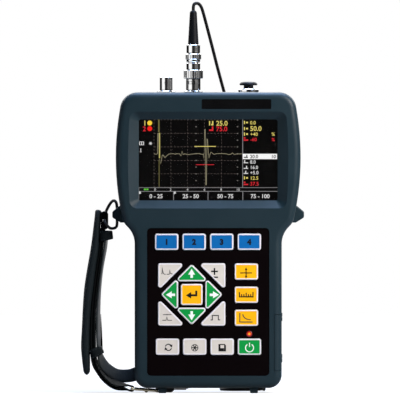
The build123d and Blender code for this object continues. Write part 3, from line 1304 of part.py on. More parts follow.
with BuildPart() as cable_coil:
    with BuildSketch(Plane.XZ.offset(-COIL_Y)):
        with Locations((COIL_X + COIL_MIDDLE_R, (COIL_LOW_Z + COIL_TOP_Z) / 2)):
            ring = Rectangle(
                COIL_PITCH * (COIL_COLUMNS - 1) + 2 * CABLE_R,
                COIL_PITCH * (COIL_LAYERS - 1) + 2 * CABLE_R,
            )
        chamfer(ring.vertices(), COIL_EDGE)
    revolve(axis=Axis((COIL_X, COIL_Y, 0), (0, 0, 1)))
    lead_x, lead_y = COIL_X + COIL_OUTER_R, COIL_Y + COIL_OUTER_R
    add(rod((lead_x, COIL_Y - COIL_LEAD, COIL_LOW_Z), (lead_x, COIL_Y, COIL_LOW_Z), LEAD_R))
    add(rod((COIL_X - COIL_LEAD, lead_y, COIL_TOP_Z), (COIL_X, lead_y, COIL_TOP_Z), LEAD_R))
finish(cable_coil, "cable_coil")

with BuildPart() as probe_plug:
    add(
        Plane(TAIL_ROUTE[-1], z_dir=(-1, 0, 0)).location
        * turned(0, 0, FAR_PLUG_OUTLINE)
    )
finish(probe_plug, "probe_plug")

# Hand strap on the left: padded leather, webbing with an end loop, and a lining strap


def strap_layer(inset, thick, low_z, high_z):
    """A flat layer of the strap beside the pad, cut between two heights."""
    with BuildPart() as layer:
        with BuildSketch(facing(WEBBING_REAR_Y)):
            with BuildLine():
                near = Spline(*[(x + inset, z) for x, z in STRAP_INNER])
                far = Spline(*[(x + inset + thick, z) for x, z in STRAP_INNER])
                Line(near @ 0, far @ 0)
                Line(near @ 1, far @ 1)
            make_face()
            with Locations((-84, (low_z + high_z) / 2)):
                Rectangle(40, high_z - low_z, mode=Mode.INTERSECT)
        extrude(amount=WEBBING_REAR_Y - WEBBING_FRONT_Y)
    return layer.part


def band(stations):
    """A strap lofted through stations of place, heading, roll, width and thickness."""
    with BuildPart() as strap:
        for place, heading, roll, width, thick in stations:
            along = Vector(*heading).normalized()
            across = (Vector(0, 1, 0) - along * along.Y).normalized()
            inward = along.cross(across)
            c, s = math.cos(math.radians(roll)), math.sin(math.radians(roll))
            with BuildSketch(Plane(place, x_dir=across * c + inward * s, z_dir=along)):
                Rectangle(width, thick)
        loft()
    return strap.part


def buckle_rod(front_y, rear_y, radius):
    """A rod on the line of the buckle's outer bar."""
    ends = (BUCKLE_LEFT_X, front_y, BUCKLE_LEFT_Z), (BUCKLE_LEFT_X, rear_y, BUCKLE_LEFT_Z)
    return rod(*ends, radius)


with BuildPart() as strap_pad:
    with BuildSketch(facing(PAD_REAR_Y)):
        with BuildLine():
            inner = Spline(*STRAP_INNER)
            outer = Spline(*STRAP_OUTER)
            ThreePointArc(inner @ 0, PAD_LOW_TIP, outer @ 1)
            ThreePointArc(inner @ 1, PAD_HIGH_TIP, outer @ 0)
        make_face()
    extrude(amount=PAD_REAR_Y - PAD_FRONT_Y)
    chamfer(strap_pad.faces().filter_by(Axis.Y).edges(), PAD_EDGE)
finish(strap_pad, "strap_pad")

with BuildPart() as strap_webbing:
    add(strap_layer(LAYER_GAP, WEBBING_T, LAYER_LOW_Z, WEBBING_HIGH_Z))
    # End loop for the cord
    with BuildSketch(facing(WEBBING_REAR_Y)):
        with Locations(END_LOOP_PLACE):
            RectangleRounded(END_LOOP_W, END_LOOP_H, END_LOOP_R)
    extrude(amount=WEBBING_REAR_Y - WEBBING_FRONT_Y)
    with BuildSketch(facing(WEBBING_REAR_Y + 1)):
        with Locations(END_LOOP_PLACE):
            RectangleRounded(END_LOOP_W - 2 * END_LOOP_T, END_LOOP_H - 2 * END_LOOP_T, END_LOOP_R / 2)
    extrude(amount=WEBBING_REAR_Y - WEBBING_FRONT_Y + 2, mode=Mode.SUBTRACT)
    add(band(WEBBING_BAND))
    add(buckle_rod(WEBBING_FRONT_Y, WEBBING_REAR_Y, WEBBING_FOLD_R))
    hole = buckle_rod(WEBBING_FRONT_Y - 1, WEBBING_REAR_Y + 1, BUCKLE_WIRE_R + BUCKLE_GAP)
    add(hole, mode=Mode.SUBTRACT)
finish(strap_webbing, "strap_webbing")

with BuildPart() as strap_lining:
    add(strap_layer(WEBBING_T + 2 * LAYER_GAP, LINING_T, LAYER_LOW_Z, LINING_HIGH_Z))
    add(band(LINING_BAND))
    add(block_between(LINING_TAIL_LOW, LINING_TAIL_HIGH))
finish(strap_lining, "strap_lining")

with BuildPart() as strap_keepers:
    with BuildSketch(facing(WEBBING_REAR_Y + KEEPER_GAP + KEEPER_T)):
        Polygon(*UPPER_KEEPER, align=None)
        Polygon(*LOWER_KEEPER, align=None)
    extrude(amount=WEBBING_REAR_Y - WEBBING_FRONT_Y + 2 * (KEEPER_GAP + KEEPER_T))
    # Room for the webbing and the lining, open towards the pad
    with BuildSketch(facing(WEBBING_REAR_Y + KEEPER_GAP)):
        Polygon(*KEEPER_ROOM, align=None)
    extrude(amount=WEBBING_REAR_Y - WEBBING_FRONT_Y + 2 * KEEPER_GAP, mode=Mode.SUBTRACT)
    # Clearance to the pad
    with BuildSketch(facing(PAD_REAR_Y + 2)):
        with BuildLine():
            pad_side = Spline(*[(x + KEEPER_PAD_GAP, z) for x, z in STRAP_INNER])
            Polyline(pad_side @ 1, (-99, 134), (-99, 18), pad_side @ 0)
        make_face()
    extrude(amount=PAD_REAR_Y - PAD_FRONT_Y + 4, mode=Mode.SUBTRACT)
finish(strap_keepers, "strap_keepers")

buckle_length = math.dist((BUCKLE_LEFT_X, BUCKLE_LEFT_Z), (BUCKLE_RIGHT_X, BUCKLE_RIGHT_Z))
buckle_plane = Plane(
    ((BUCKLE_LEFT_X + BUCKLE_RIGHT_X) / 2, BUCKLE_Y, (BUCKLE_LEFT_Z + BUCKLE_RIGHT_Z) / 2),
    x_dir=(BUCKLE_RIGHT_X - BUCKLE_LEFT_X, 0, BUCKLE_RIGHT_Z - BUCKLE_LEFT_Z),
    z_dir=(BUCKLE_LEFT_Z - BUCKLE_RIGHT_Z, 0, BUCKLE_RIGHT_X - BUCKLE_LEFT_X),
)
with BuildSketch(buckle_plane) as frame_outline:
    RectangleRounded(buckle_length, BUCKLE_WIDTH, BUCKLE_CORNER_R)
frame_wire = frame_outline.sketch.faces()[0].outer_wire()

with BuildPart() as strap_buckle:
    # A closed wire frame, with a roller across it
    with BuildSketch(Plane(frame_wire @ 0, z_dir=frame_wire % 0)):
        Circle(BUCKLE_WIRE_R)
    sweep(path=frame_wire)
    roller_y = BUCKLE_WIDTH / 2 - BUCKLE_WIRE_R / 2
    add(
        rod(
            (BUCKLE_ROLLER_X, BUCKLE_Y - roller_y, BUCKLE_ROLLER_Z),
            (BUCKLE_ROLLER_X, BUCKLE_Y + roller_y, BUCKLE_ROLLER_Z),
            BUCKLE_ROLLER_R,
        )
    )
finish(strap_buckle, "strap_buckle")

with BuildPart() as strap_anchor:
    with BuildSketch(facing(ANCHOR_REAR_Y)):
        Polygon(*ANCHOR_OUTLINE, align=None)
        with Locations(ANCHOR_EYE):
            Circle(ANCHOR_EYE_R)
        with Locations((BUCKLE_RIGHT_X, BUCKLE_RIGHT_Z)):
            Circle(BUCKLE_WIRE_R + BUCKLE_GAP, mode=Mode.SUBTRACT)
    extrude(amount=ANCHOR_WIDTH)
finish(strap_anchor, "strap_anchor")

STRAP_CORD_ROUTE = [
    (-EAR_HOLE_X, EAR_Y, 134.7),
    (-EAR_HOLE_X, EAR_Y, 141.4),
    (-69.4, 4.0, 144.6),
    (-71.6, 6.6, 145.2),
    (-73.9, 10.2, 142.6),
    (-75.9, 14.4, 139.0),
    (-77.2, 18.2, 135.8),
    (-77.7, 20.0, 132.8),
    (-77.4, 18.4, 130.2),
    (-77.2, 14.6, 129.6),
    (-77.1, 4.0, 129.7),
    (-77.1, -7.6, 129.9),
    (-77.1, -12.0, 129.2),
    (-77.0, -14.2, 126.8),
    (-76.2, -12.8, 124.2),
    (-74.6, -9.0, 123.4),
    (-72.0, -3.6, 123.8),
    (-69.9, 0.9, 124.4),
    (-EAR_HOLE_X, EAR_Y, 127.2),
    (-EAR_HOLE_X, EAR_Y, 134.1),
]
with BuildPart() as strap_cord:
    add(tube(STRAP_CORD_ROUTE, STRAP_CORD_R))
finish(strap_cord, "strap_cord")
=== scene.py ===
import bpy
import math
import mathutils
import numpy as np
from functools import partial
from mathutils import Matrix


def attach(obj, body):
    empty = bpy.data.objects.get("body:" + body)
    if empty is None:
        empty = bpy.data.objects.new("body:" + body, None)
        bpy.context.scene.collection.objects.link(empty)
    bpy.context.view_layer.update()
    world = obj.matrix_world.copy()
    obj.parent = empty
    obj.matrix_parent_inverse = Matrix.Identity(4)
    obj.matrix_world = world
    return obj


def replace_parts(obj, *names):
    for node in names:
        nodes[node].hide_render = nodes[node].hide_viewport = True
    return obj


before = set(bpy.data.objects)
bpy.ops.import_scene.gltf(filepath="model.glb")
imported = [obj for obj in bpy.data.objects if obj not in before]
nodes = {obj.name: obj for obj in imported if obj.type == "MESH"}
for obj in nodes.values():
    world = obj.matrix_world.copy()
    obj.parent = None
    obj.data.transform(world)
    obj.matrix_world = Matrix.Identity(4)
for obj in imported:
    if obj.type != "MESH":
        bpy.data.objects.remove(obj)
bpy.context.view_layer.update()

# A hand-held ultrasonic flaw detector with its probe lead and hand strap.
# Tables hold millimetres in the model's frame, and MM turns them to metres.
MM = 0.001

# Camera: 300 mm at the front of the case fill the picture
FRONT_Y = -24.0
VIEW_WIDTH = 300.0
AIM_X, AIM_Z = -6.15, 145.0
CAMERA_DISTANCE = 6000.0
SENSOR = 36.0

# Display and keys: the plane of the panel, of a key's face, and their films' thickness
LCD_Y, FILM_T = -16.4, 0.02
KEY_DISH_Y, INK_T = -24.45, 0.03

# Cords
CABLE_D = 2.5
COIL_PITCH, COIL_COLUMNS, COIL_LAYERS = 2.6, 3, 4
COIL_MIDDLE_R = 13.75
COIL_OUTER_R = COIL_MIDDLE_R + COIL_PITCH * (COIL_COLUMNS - 1) / 2
COIL_X, COIL_Y, COIL_LOW_Z = 26.1, 62.0, 1.3
COIL_TOP_Z = COIL_LOW_Z + COIL_PITCH * (COIL_LAYERS - 1)
COIL_LEAD = 11.0
COIL_TURNS = 11.25
POINTS_A_TURN = 24
CABLE_ROUTE = [
    (-11.2, 8, 287.8), (-11.3, 8, 291.2), (-10.2, 9.3, 293.4), (-7.2, 11.1, 293.4),
    (-5, 12.5, 290.6), (-3.4, 14, 285.2), (-0.9, 16.2, 275.8), (2.6, 19.2, 262.6),
    (7.1, 23.4, 244.8), (12.8, 27.6, 224), (20, 30.6, 199), (29, 31.6, 172),
    (37.5, 32, 142), (42.5, 32.4, 108), (44.2, 32.8, 74), (43.8, 33.4, 44),
    (43.2, 34.6, 24), (42.8, 36.6, 11.5), (42.5, 40.2, 4.2),
    (COIL_X + COIL_OUTER_R, 45.4, COIL_LOW_Z),
    (COIL_X + COIL_OUTER_R, COIL_Y - COIL_LEAD, COIL_LOW_Z),
]
TAIL_ROUTE = [
    (COIL_X - COIL_LEAD, COIL_Y + COIL_OUTER_R, COIL_TOP_Z),
    (11.2, COIL_Y + COIL_OUTER_R, COIL_TOP_Z),
    (6.8, 78.0, 7.6),
    (2.2, 77.6, 5.4),
    (-2.4, 77.4, 4.3),
    (-6.4, 77.4, 4.3),
]
STRAP_CORD_D = 2.2
STRAP_CORD_ROUTE = [
    (-68.6, 3, 134.7), (-68.6, 3, 140), (-69.3, 4, 143.6), (-71.3, 7, 144.9),
    (-73.4, 10.4, 143.1), (-75.2, 13.8, 140.2), (-76.7, 17.2, 137.4), (-77.8, 19.8, 134.4),
    (-78.1, 19.6, 131.2), (-78.1, 16.6, 129.8), (-78.1, 10, 129.8), (-78.1, -7, 129.8),
    (-78, -11.2, 129.5), (-77.1, -14.2, 127.6), (-75.3, -14.2, 125), (-73.5, -11, 123.6),
    (-71.6, -6, 123.6), (-69.9, -1.2, 124), (-68.7, 2.2, 125.4), (-68.6, 3, 128.6),
    (-68.6, 3, 134.1),
]

# Hand strap: the pad's middle line as X, Z and thickness, then the bands under it
STRAP_MIDDLE_Y = 3.0
PAD_HALF_WIDTH = 15.0
PAD_LINE = [
    (-91.3, 13.4, 4.6), (-91.7, 20, 5.4), (-92.2, 29, 6.2), (-92.4, 36, 6.6),
    (-92.1, 47.5, 6.3), (-91.35, 62.5, 6.4), (-89.95, 77.5, 6.8), (-87.85, 92.5, 6.6),
    (-85.45, 107.5, 6.5), (-84.3, 118.5, 5.8), (-83.7, 126, 5.1), (-83.1, 134, 4.4),
    (-82.2, 137.6, 6.4),
]
# Stations of X, Y, Z, roll in degrees, width, thickness
WEBBING_STATIONS = [
    (-79.4, 3, 124, 0, 22, 4.1), (-79.9, 3, 118.5, 0, 22, 3.8), (-80.85, 3, 107.5, 0, 22, 3),
    (-83, 3, 92.5, 0, 22, 3.5), (-84.9, 3, 77.5, 0, 22, 3.7), (-86.4, 3, 62.5, 0, 22, 3.9),
    (-86.9, 3, 47.5, 0, 22, 4.5), (-86.85, 3, 36, 0, 22, 4.7), (-86.6, 3, 29, 0, 22, 4.4),
    (-84.9, 3, 21.5, 4, 22, 3.8), (-81.4, 3, 15.8, 6, 22, 3.5), (-77.8, 3, 11.2, 7, 22, 3.2),
    (-73.2, 3, 7.5, 9, 22, 2.8), (-68.8, 3, 5.4, 9, 22, 2.5), (-64.6, 3, 4.5, 6, 22, 2.4),
    (-60.4, 3, 3.7, 0, 22, 2.4),
]
LINING_STATIONS = [
    (-76.4, 3, 121, 4, 22, 1.9), (-76.9, 3, 115, 4, 22, 1.9), (-77.8, 3, 107.5, 4, 22, 1.9),
    (-80.2, 3, 92.5, 2, 22, 1.9), (-81.85, 3, 77.5, 3, 22, 1.9), (-82.75, 3, 62.5, 5, 22, 1.9),
    (-82.8, 3, 47.5, 6, 22, 1.9), (-82.5, 3, 36, 6, 21.4, 1.9), (-82, 3.4, 29, 8, 19, 1.9),
    (-79.6, 6, 22.4, 22, 16, 1.8), (-74.6, 10.8, 16.4, 34, 13.5, 1.7),
    (-68, 17.4, 12.6, 52, 11.6, 1.7), (-59.5, 23, 12.2, 72, 10.4, 1.7),
    (-52, 25.4, 14.4, 88, 10, 1.7), (-47, 25.5, 15, 90, 10, 1.7),
    (-40, 25.5, 15, 90, 10, 1.7), (-33.4, 25.5, 15, 90, 10, 1.7),
]
# Bead sewn to the lining's rear edge over its lower half
BEAD_LINE = [(-81, 59), (-80.9, 55), (-80.65, 47.5), (-80.4, 40), (-80.3, 34), (-80.4, 30)]
BEAD_Y, BEAD_R = 13.4, 0.75
BUCKLE_BAR_X, BUCKLE_BAR_Z = -57.6, 2.9
LOOP_X, LOOP_Z = -78.15, 129.6
WEBBING_TURN_R = 1.7


# Shapes


def unit(vectors):
    """Each row divided by its own length."""
    return vectors / np.linalg.norm(vectors, axis=-1, keepdims=True)


def travel_along(points):
    """How far along a line each of its points lies."""
    return np.r_[0, np.cumsum(np.linalg.norm(np.diff(points, axis=0), axis=1))]


def sampled(rows, travel, at):
    """Rows of values along a line, taken at other places along it."""
    return np.stack([np.interp(at, travel, column) for column in rows.T], axis=1)


def smooth_line(points, count, crowd_ends=False):
    """A Catmull-Rom curve through points, sampled evenly along its length, or with
    samples that crowd towards both ends as a cosine does. Further columns follow along."""
    p = np.asarray(points, float)
    p = np.vstack([2 * p[0] - p[1], p, 2 * p[-1] - p[-2]])
    spans = len(p) - 3
    t = np.linspace(0, spans, 40 * spans + 1)
    i = np.minimum(t.astype(int), spans - 1)
    f = (t - i)[:, None]
    a, b, c, d = p[i], p[i + 1], p[i + 2], p[i + 3]
    line = 0.5 * (
        2 * b + (c - a) * f + (2 * a - 5 * b + 4 * c - d) * f**2 + (3 * b - a - 3 * c + d) * f**3
    )
    travel = travel_along(line[:, :3])
    share = np.linspace(0, 1, count)
    if crowd_ends:
        share = (1 - np.cos(math.pi * share)) / 2
    return sampled(line, travel, share * travel[-1])


def full_turn(count):
    """Angles all the way round, without the last."""
    return np.linspace(0, 2 * math.pi, count, endpoint=False)


def rounded_ring(count, power):
    """Points round |x|^n + |y|^n = 1, anticlockwise from +x."""
    a = full_turn(count)
    xy = np.stack([np.cos(a), np.sin(a)], axis=1)
    return np.sign(xy) * abs(xy) ** (2 / power)


def grid_faces(rows, columns, closed=False):
    """Quads between neighbours of a grid whose columns wrap round, and its rows too if closed.
    An open grid gets a face over each end."""
    r = np.arange(rows if closed else rows - 1)[:, None]
    c = np.arange(columns)[None, :]
    low, high, c2 = r * columns, (r + 1) % rows * columns, (c + 1) % columns
    quads = np.stack([low + c, low + c2, high + c2, high + c], axis=-1)
    faces = [tuple(q) for q in quads.reshape(-1, 4).tolist()]
    if not closed:
        faces.append(tuple(range(columns))[::-1])
        faces.append(tuple(range((rows - 1) * columns, rows * columns)))
    return faces


def in_scene(name, data):
    """A new object in the scene."""
    made = bpy.data.objects.new(name, data)
    bpy.context.scene.collection.objects.link(made)
    return made


def placed(name, data, body="case"):
    """An object in the scene that rides on a body."""
    piece = in_scene(name, data)
    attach(piece, body)
    return piece


def piece_of(name, shapes, material, body="case", smooth=True):
    """One mesh from shapes of (points in millimetres, faces), that rides on a body."""
    points, faces, base = [], [], 0
    for shape_points, shape_faces in shapes:
        points.append(np.asarray(shape_points, float).reshape(-1, 3))
        faces += [tuple(i + base for i in face) for face in shape_faces]
        base += len(points[-1])
    mesh = bpy.data.meshes.new(name)
    mesh.from_pydata((np.vstack(points) * MM).tolist(), [], faces)
    mesh.polygons.foreach_set("use_smooth", np.full(len(mesh.polygons), smooth))
    mesh.materials.append(material)
    mesh.update()
    return placed(name, mesh, body)


def turned_out(points, faces):
    """A closed shape, its faces outward by the sign of the volume that they enclose."""
    p = np.asarray(points, float).reshape(-1, 3)
    fan = np.array([(f[0], f[i], f[i + 1]) for f in faces for i in range(1, len(f) - 1)])
    a, b, c = (p - p.mean(0))[fan.T]
    if np.einsum("ij,ij->i", a, np.cross(b, c)).sum() < 0:
        faces = [f[::-1] for f in faces]
    return p, faces


def swept(centres, across, outward, half_width, half_thick, power=5.0, around=20, closed=False):
    """A rounded flat section carried along centres: half_width along across, half_thick along
    outward."""
    ring = rounded_ring(around, power)
    w, h = [np.broadcast_to(half, len(centres))[:, None, None] for half in (half_width, half_thick)]
    grid = centres[:, None] + across[:, None] * ring[:, :1] * w + outward[:, None] * ring[:, 1:] * h
    return turned_out(grid, grid_faces(len(centres), around, closed))


def strap_frames(centres, roll):
    """Directions across and out of a strap along its line: across starts as +Y, square to
    the line, and turns about the line by roll degrees."""
    along = unit(np.gradient(centres, axis=0))
    side = unit(np.array([0.0, 1.0, 0.0]) - along * along[:, 1:2])
    out = np.cross(along, side)
    a = np.radians(roll)[:, None]
    return side * np.cos(a) + out * np.sin(a), out * np.cos(a) - side * np.sin(a)


def stroke(points, width, closed=False):
    """Four-sided pieces along a line in the X-Z plane, of this width, mitred where they meet."""
    p = np.asarray(points, float)
    step = unit(np.roll(p, -1, axis=0) - p)
    before = np.roll(step, 1, axis=0)
    if not closed:
        step[-1], before[0] = step[-2], step[0]
    middle = unit(before + step + 1e-9)
    normal = np.stack([-middle[:, 1], middle[:, 0]], axis=1)
    spread = 1 / np.maximum((middle * step).sum(axis=1), 0.6)
    left = p + normal * (width / 2 * spread)[:, None]
    right = p - normal * (width / 2 * spread)[:, None]
    quads = np.stack([left, right, np.roll(right, -1, axis=0), np.roll(left, -1, axis=0)], axis=1)
    return list(quads if closed else quads[:-1])


def lines(width, *paths):
    """Strokes of one width along several lines."""
    return [q for path in paths for q in stroke(path, width)]


def arc(x, z, radius, start, end, count=20):
    """Points on a circle between two angles in degrees."""
    a = np.radians(np.linspace(start, end, count))
    return np.stack([x + radius * np.cos(a), z + radius * np.sin(a)], axis=1)


def slab(x_low, x_high, z_low, z_high):
    """A rectangle in the X-Z plane."""
    return np.array([(x_low, z_low), (x_high, z_low), (x_high, z_high), (x_low, z_high)])


def bars(x_low, x_high, height, *feet):
    """Rectangles of one size, one at each height of its foot."""
    return [slab(x_low, x_high, z, z + height) for z in feet]


def dashes(start, end, dash, gap, width):
    """Short strokes along a straight line, each dash long with a gap after it."""
    a, b = np.array(start, float), np.array(end, float)
    length = np.linalg.norm(b - a)
    along = (b - a) / length
    starts = np.arange(0, length - dash / 2, dash + gap)
    return lines(width, *[(a + along * s, a + along * min(s + dash, length)) for s in starts])


def film(polygons, front_y, thick):
    """Flat shapes in the X-Z plane given a thickness behind front_y, each closed all round."""
    shapes = []
    for polygon in polygons:
        front = np.insert(np.asarray(polygon, float), 1, front_y, axis=1)
        shapes.append(turned_out([front, front + (0, thick, 0)], grid_faces(2, len(front))))
    return shapes


# A capital's height as a share of the font's size
CAP_SHARE = 0.729


def figures(text, x, z, height, front_y, thick, weight=0.0, align="LEFT"):
    """Plain figures of a cap height, standing on z, made a mesh and laid in the X-Z plane.
    weight thickens every line by that share of the height."""
    font = bpy.data.curves.new("figures", "FONT")
    font.body = text
    font.size = height / CAP_SHARE
    font.offset = weight * height
    font.extrude = thick / 2
    font.resolution_u = 3
    font.align_x = align
    holder = bpy.data.objects.new("figures", font)
    mesh = bpy.data.meshes.new_from_object(holder)
    co = np.empty(len(mesh.vertices) * 3)
    mesh.vertices.foreach_get("co", co)
    co = co.reshape(-1, 3)
    faces = [tuple(p.vertices) for p in mesh.polygons]
    bpy.data.objects.remove(holder)
    laid = np.stack([x + co[:, 0], front_y + thick / 2 - co[:, 2], z + co[:, 1]], axis=1)
    return laid, faces


def threads(places, along, out, length, radius):
    """A sewn line: at each place one short rounded thread, radius thick, that lies along its
    line and bows out of the cloth. Every thread is the same 6 by 5 grid, moved and turned."""
    s = np.linspace(-1, 1, 5)
    bow = np.sqrt(np.maximum(1 - s**2, 0.04))
    a = full_turn(6)
    side = unit(np.cross(along, out))
    up, sideways = radius * np.outer(bow, np.sin(a)), radius * np.outer(bow, np.cos(a))
    shifts = ((along, s[:, None] * length / 2), (out, up), (side, sideways))
    grid = places[:, None, None] + sum(way[:, None, None] * d[..., None] for way, d in shifts)
    return [turned_out(g, grid_faces(5, 6)) for g in grid]


# Materials


def colour(code, factor=1.0):
    """Linear RGBA from an sRGB hex code, made darker or lighter by a factor."""
    rgb = np.array([int(code[i : i + 2], 16) for i in (1, 3, 5)]) / 255
    linear = np.where(rgb <= 0.04045, rgb / 12.92, ((rgb + 0.055) / 1.055) ** 2.4) * factor
    return (*linear, 1.0)


def feed(node, inputs):
    """Gives a node its inputs, by name or in order: a value is set, and a socket is linked."""
    for key, value in inputs.items() if isinstance(inputs, dict) else enumerate(inputs):
        if isinstance(value, bpy.types.NodeSocket):
            node.id_data.links.new(value, node.inputs[key])
        else:
            node.inputs[key].default_value = value


def add_node(tree, kind, inputs=(), output=0, **named):
    """One shader node. Its kind may have an operation after a space. What is named is one of
    its inputs, or else a setting. Gives one of its outputs."""
    kind, _, operation = kind.partition(" ")
    made = tree.nodes.new("ShaderNode" + kind)
    if operation:
        made.operation = operation
    for key in named.keys() - made.inputs.keys():
        setattr(made, key, named.pop(key))
    feed(made, inputs)
    feed(made, named)
    return made.outputs[output]


def finished(made, **inputs):
    """A material with inputs of its shader set or linked. Their names have _ for spaces."""
    inputs = {key.replace("_", " "): value for key, value in inputs.items()}
    feed(made.node_tree.nodes["Principled BSDF"], inputs)
    return made


def shader(name, base, roughness, specular=0.5, **inputs):
    """A new material, and add_node for its tree."""
    made = bpy.data.materials.new(name)
    made.use_nodes = True
    inputs |= {"Base_Color": colour(base), "Roughness": roughness, "Specular_IOR_Level": specular}
    return finished(made, **inputs), partial(add_node, made.node_tree)


def shades(factor, base, low, high):
    """A factor with the darker and the lighter shade of a colour that it goes between."""
    return {0: factor, 6: colour(base, low), 7: colour(base, high)}


# What a mix of two colours, which are its inputs 6 and 7, needs besides them
BLEND = {"output": 2, "data_type": "RGBA"}
# Handling leaves a cloud about 25 mm across, of this spread in roughness and shade
CLOUD_SCALE, CLOUD_GLOSS, CLOUD_TONES = 40.0, 0.06, (0.92, 1.08)


def textured(name, base, roughness, grain_mm, depth_mm, specular=0.5):
    """A surface with a fine grain of a real size and depth in millimetres, and a faint cloud
    in colour and gloss from handling."""
    made, node = shader(name, base, roughness, specular)
    place = node("TexCoord", output="Object")
    fine = 1 / (grain_mm * MM)
    grain = node("TexNoise", Vector=place, Scale=fine, Detail=2.0, Roughness=0.6)
    cloud = node("TexNoise", Vector=place, Scale=CLOUD_SCALE, Detail=4.0)
    tone = node("Mix", shades(cloud, base, *CLOUD_TONES), **BLEND)
    gloss = node("MapRange", [cloud, 0.3, 0.7, roughness - CLOUD_GLOSS, roughness + CLOUD_GLOSS])
    raised = node("Bump", Height=grain, Distance=depth_mm * MM)
    return finished(made, Base_Color=tone, Roughness=gloss, Normal=raised)


def lit(name, code):
    """Light from a display's dots: a colour with no gloss."""
    glow = {"Emission_Color": colour(code), "Emission_Strength": 1.0}
    return shader(name, "#000000", 0.6, 0.0, **glow)[0]


KEY_RIM = "#ece9ec"


def key_cap(name, inset):
    """Moulded key in two shots: a pale rim and sides, and a face of another colour let into it.
    The face lies 0.15 mm behind the rim, and a slice of depth 0.06 mm picks it out."""
    made, node = shader(name, KEY_RIM, 0.45, 0.15)
    place = node("TexCoord", output="Object")
    depth = node("SeparateXYZ", [place], "Y")
    in_dish = node("Math COMPARE", [depth, KEY_DISH_Y * MM, 0.03 * MM])
    cloud = node("TexNoise", Vector=place, Scale=160.0, Detail=3.0)
    tint = node("Mix", shades(cloud, inset, *CLOUD_TONES), **BLEND)
    face = node("Mix", {0: in_dish, 6: colour(KEY_RIM), 7: tint}, **BLEND)
    grain = node("TexNoise", Vector=place, Scale=1 / (0.35 * MM), Detail=2.0)
    raised = node("Bump", Height=grain, Distance=0.006 * MM)
    return finished(made, Base_Color=face, Normal=raised)


def turned_metal(name, base, roughness, stretch):
    """Metal from a lathe: rings, a soft cloud in the gloss from handling, and painted shade that
    darkens it within 1.6 mm of an inner corner. stretch is the rings' scale along X, Y and Z, and
    4000 puts them 0.25 mm apart."""
    made, node = shader(name, base, roughness, Metallic=1.0)
    place = node("TexCoord", output="Object")
    # Painted shade: the base colour drops to 6% of itself where ambient occlusion finds an inner
    # corner or neck
    air = node("AmbientOcclusion", output="AO", Distance=1.6 * MM, samples=6)
    outside_painted_shade = node("MapRange", [air, 0.5, 0.9])
    tone = node("Mix", shades(outside_painted_shade, base, 0.06, 1.0), **BLEND)
    drawn = node("Mapping", Vector=place, Scale=stretch)
    rings = node("TexNoise", Vector=drawn, Scale=1.0, Detail=2.0)
    cloud = node("TexNoise", Vector=place, Scale=300.0, Detail=3.0)
    both = node("Math MULTIPLY", [rings, cloud])
    gloss = node("MapRange", [both, 0.1, 0.45, roughness * 0.6, roughness * 1.6])
    raised = node("Bump", Height=rings, Distance=0.002 * MM)
    return finished(made, Base_Color=tone, Roughness=gloss, Normal=raised)


def window_acrylic():
    """Hard-coated acrylic, clear and flat, with the faintest haze from wiping."""
    clear = {"Transmission_Weight": 1.0, "IOR": 1.49}
    made, node = shader("window_hard_coated_acrylic", "#ffffff", 0.02, **clear)
    haze = node("TexNoise", Vector=node("TexCoord", output="Object"), Scale=60.0, Detail=2.0)
    return finished(made, Roughness=node("MapRange", [haze, 0.0, 1.0, 0.0, 0.03]))


def cowhide(name, base):
    """Dyed and pressed cowhide: pebbles about 0.9 mm across with dark creases between them,
    and a soft satin top coat that is worn a little in patches."""
    made, node = shader(name, base, 0.6, 0.09)
    place = node("TexCoord", output="Object")
    pebbles = node("TexVoronoi", Vector=place, Scale=1 / (0.9 * MM), feature="DISTANCE_TO_EDGE")
    crease = node("MapRange", [pebbles, 0.0, 0.2])
    wear = node("TexNoise", Vector=place, Scale=60.0, Detail=5.0)
    worn = node("Mix", shades(wear, base, 0.85, 1.2), **BLEND)
    tone = node("Mix", {0: crease, 6: colour(base, 0.5), 7: worn}, **BLEND)
    gloss = node("MapRange", [wear, 0.0, 1.0, 0.55, 0.75])
    raised = node("Bump", Height=crease, Distance=0.08 * MM, Strength=0.6)
    return finished(made, Base_Color=tone, Roughness=gloss, Normal=raised)


def woven(name, base, rib_mm, depth_mm):
    """Woven polyamide: ribs across the band and finer warp along it. The UV map holds real
    millimetres, V along the band, so a rib every rib_mm is a wave of that period."""
    made, node = shader(name, base, 0.8, 0.06)
    uv = node("UVMap", uv_map="UVMap")
    # A wave texture has a period of 2 pi / 20 units at scale 1
    scale = 2 * math.pi / 20 / rib_mm
    wave = {"Vector": uv, "Distortion": 0.8}
    rib = wave | {"Scale": scale, "Detail": 1.0, "Detail Scale": 2.0}
    ribs = node("TexWave", rib, "Fac", bands_direction="Y")
    warp = node("TexWave", wave | {"Scale": scale / 0.7}, "Fac", bands_direction="X")
    weave = node("Math MULTIPLY", [ribs, warp])
    tone = node("Mix", shades(weave, base, 0.45, 1.6), **BLEND)
    raised = node("Bump", Height=weave, Distance=depth_mm * MM, Strength=0.8)
    return finished(made, Base_Color=tone, Normal=raised)


def braided():
    """Braided polyester cord: strands 0.6 mm across that lie over each other."""
    made, node = shader("cord_braided_polyester", "#060708", 0.7, 0.25)
    place = node("TexCoord", output="Object")
    strands = node("TexVoronoi", Vector=place, Scale=1 / (0.6 * MM), Randomness=0.4)
    tone = node("Mix", {0: strands, 6: colour("#0a0b0d", 1.4), 7: colour("#060708", 0.5)}, **BLEND)
    raised = node("Bump", Height=strands, Distance=-0.1 * MM)
    return finished(made, Base_Color=tone, Normal=raised)


def dress(material, *names):
    """Gives CAD nodes a finished material."""
    for name in names:
        nodes[name].data.materials.clear()
        nodes[name].data.materials.append(material)


# Cords


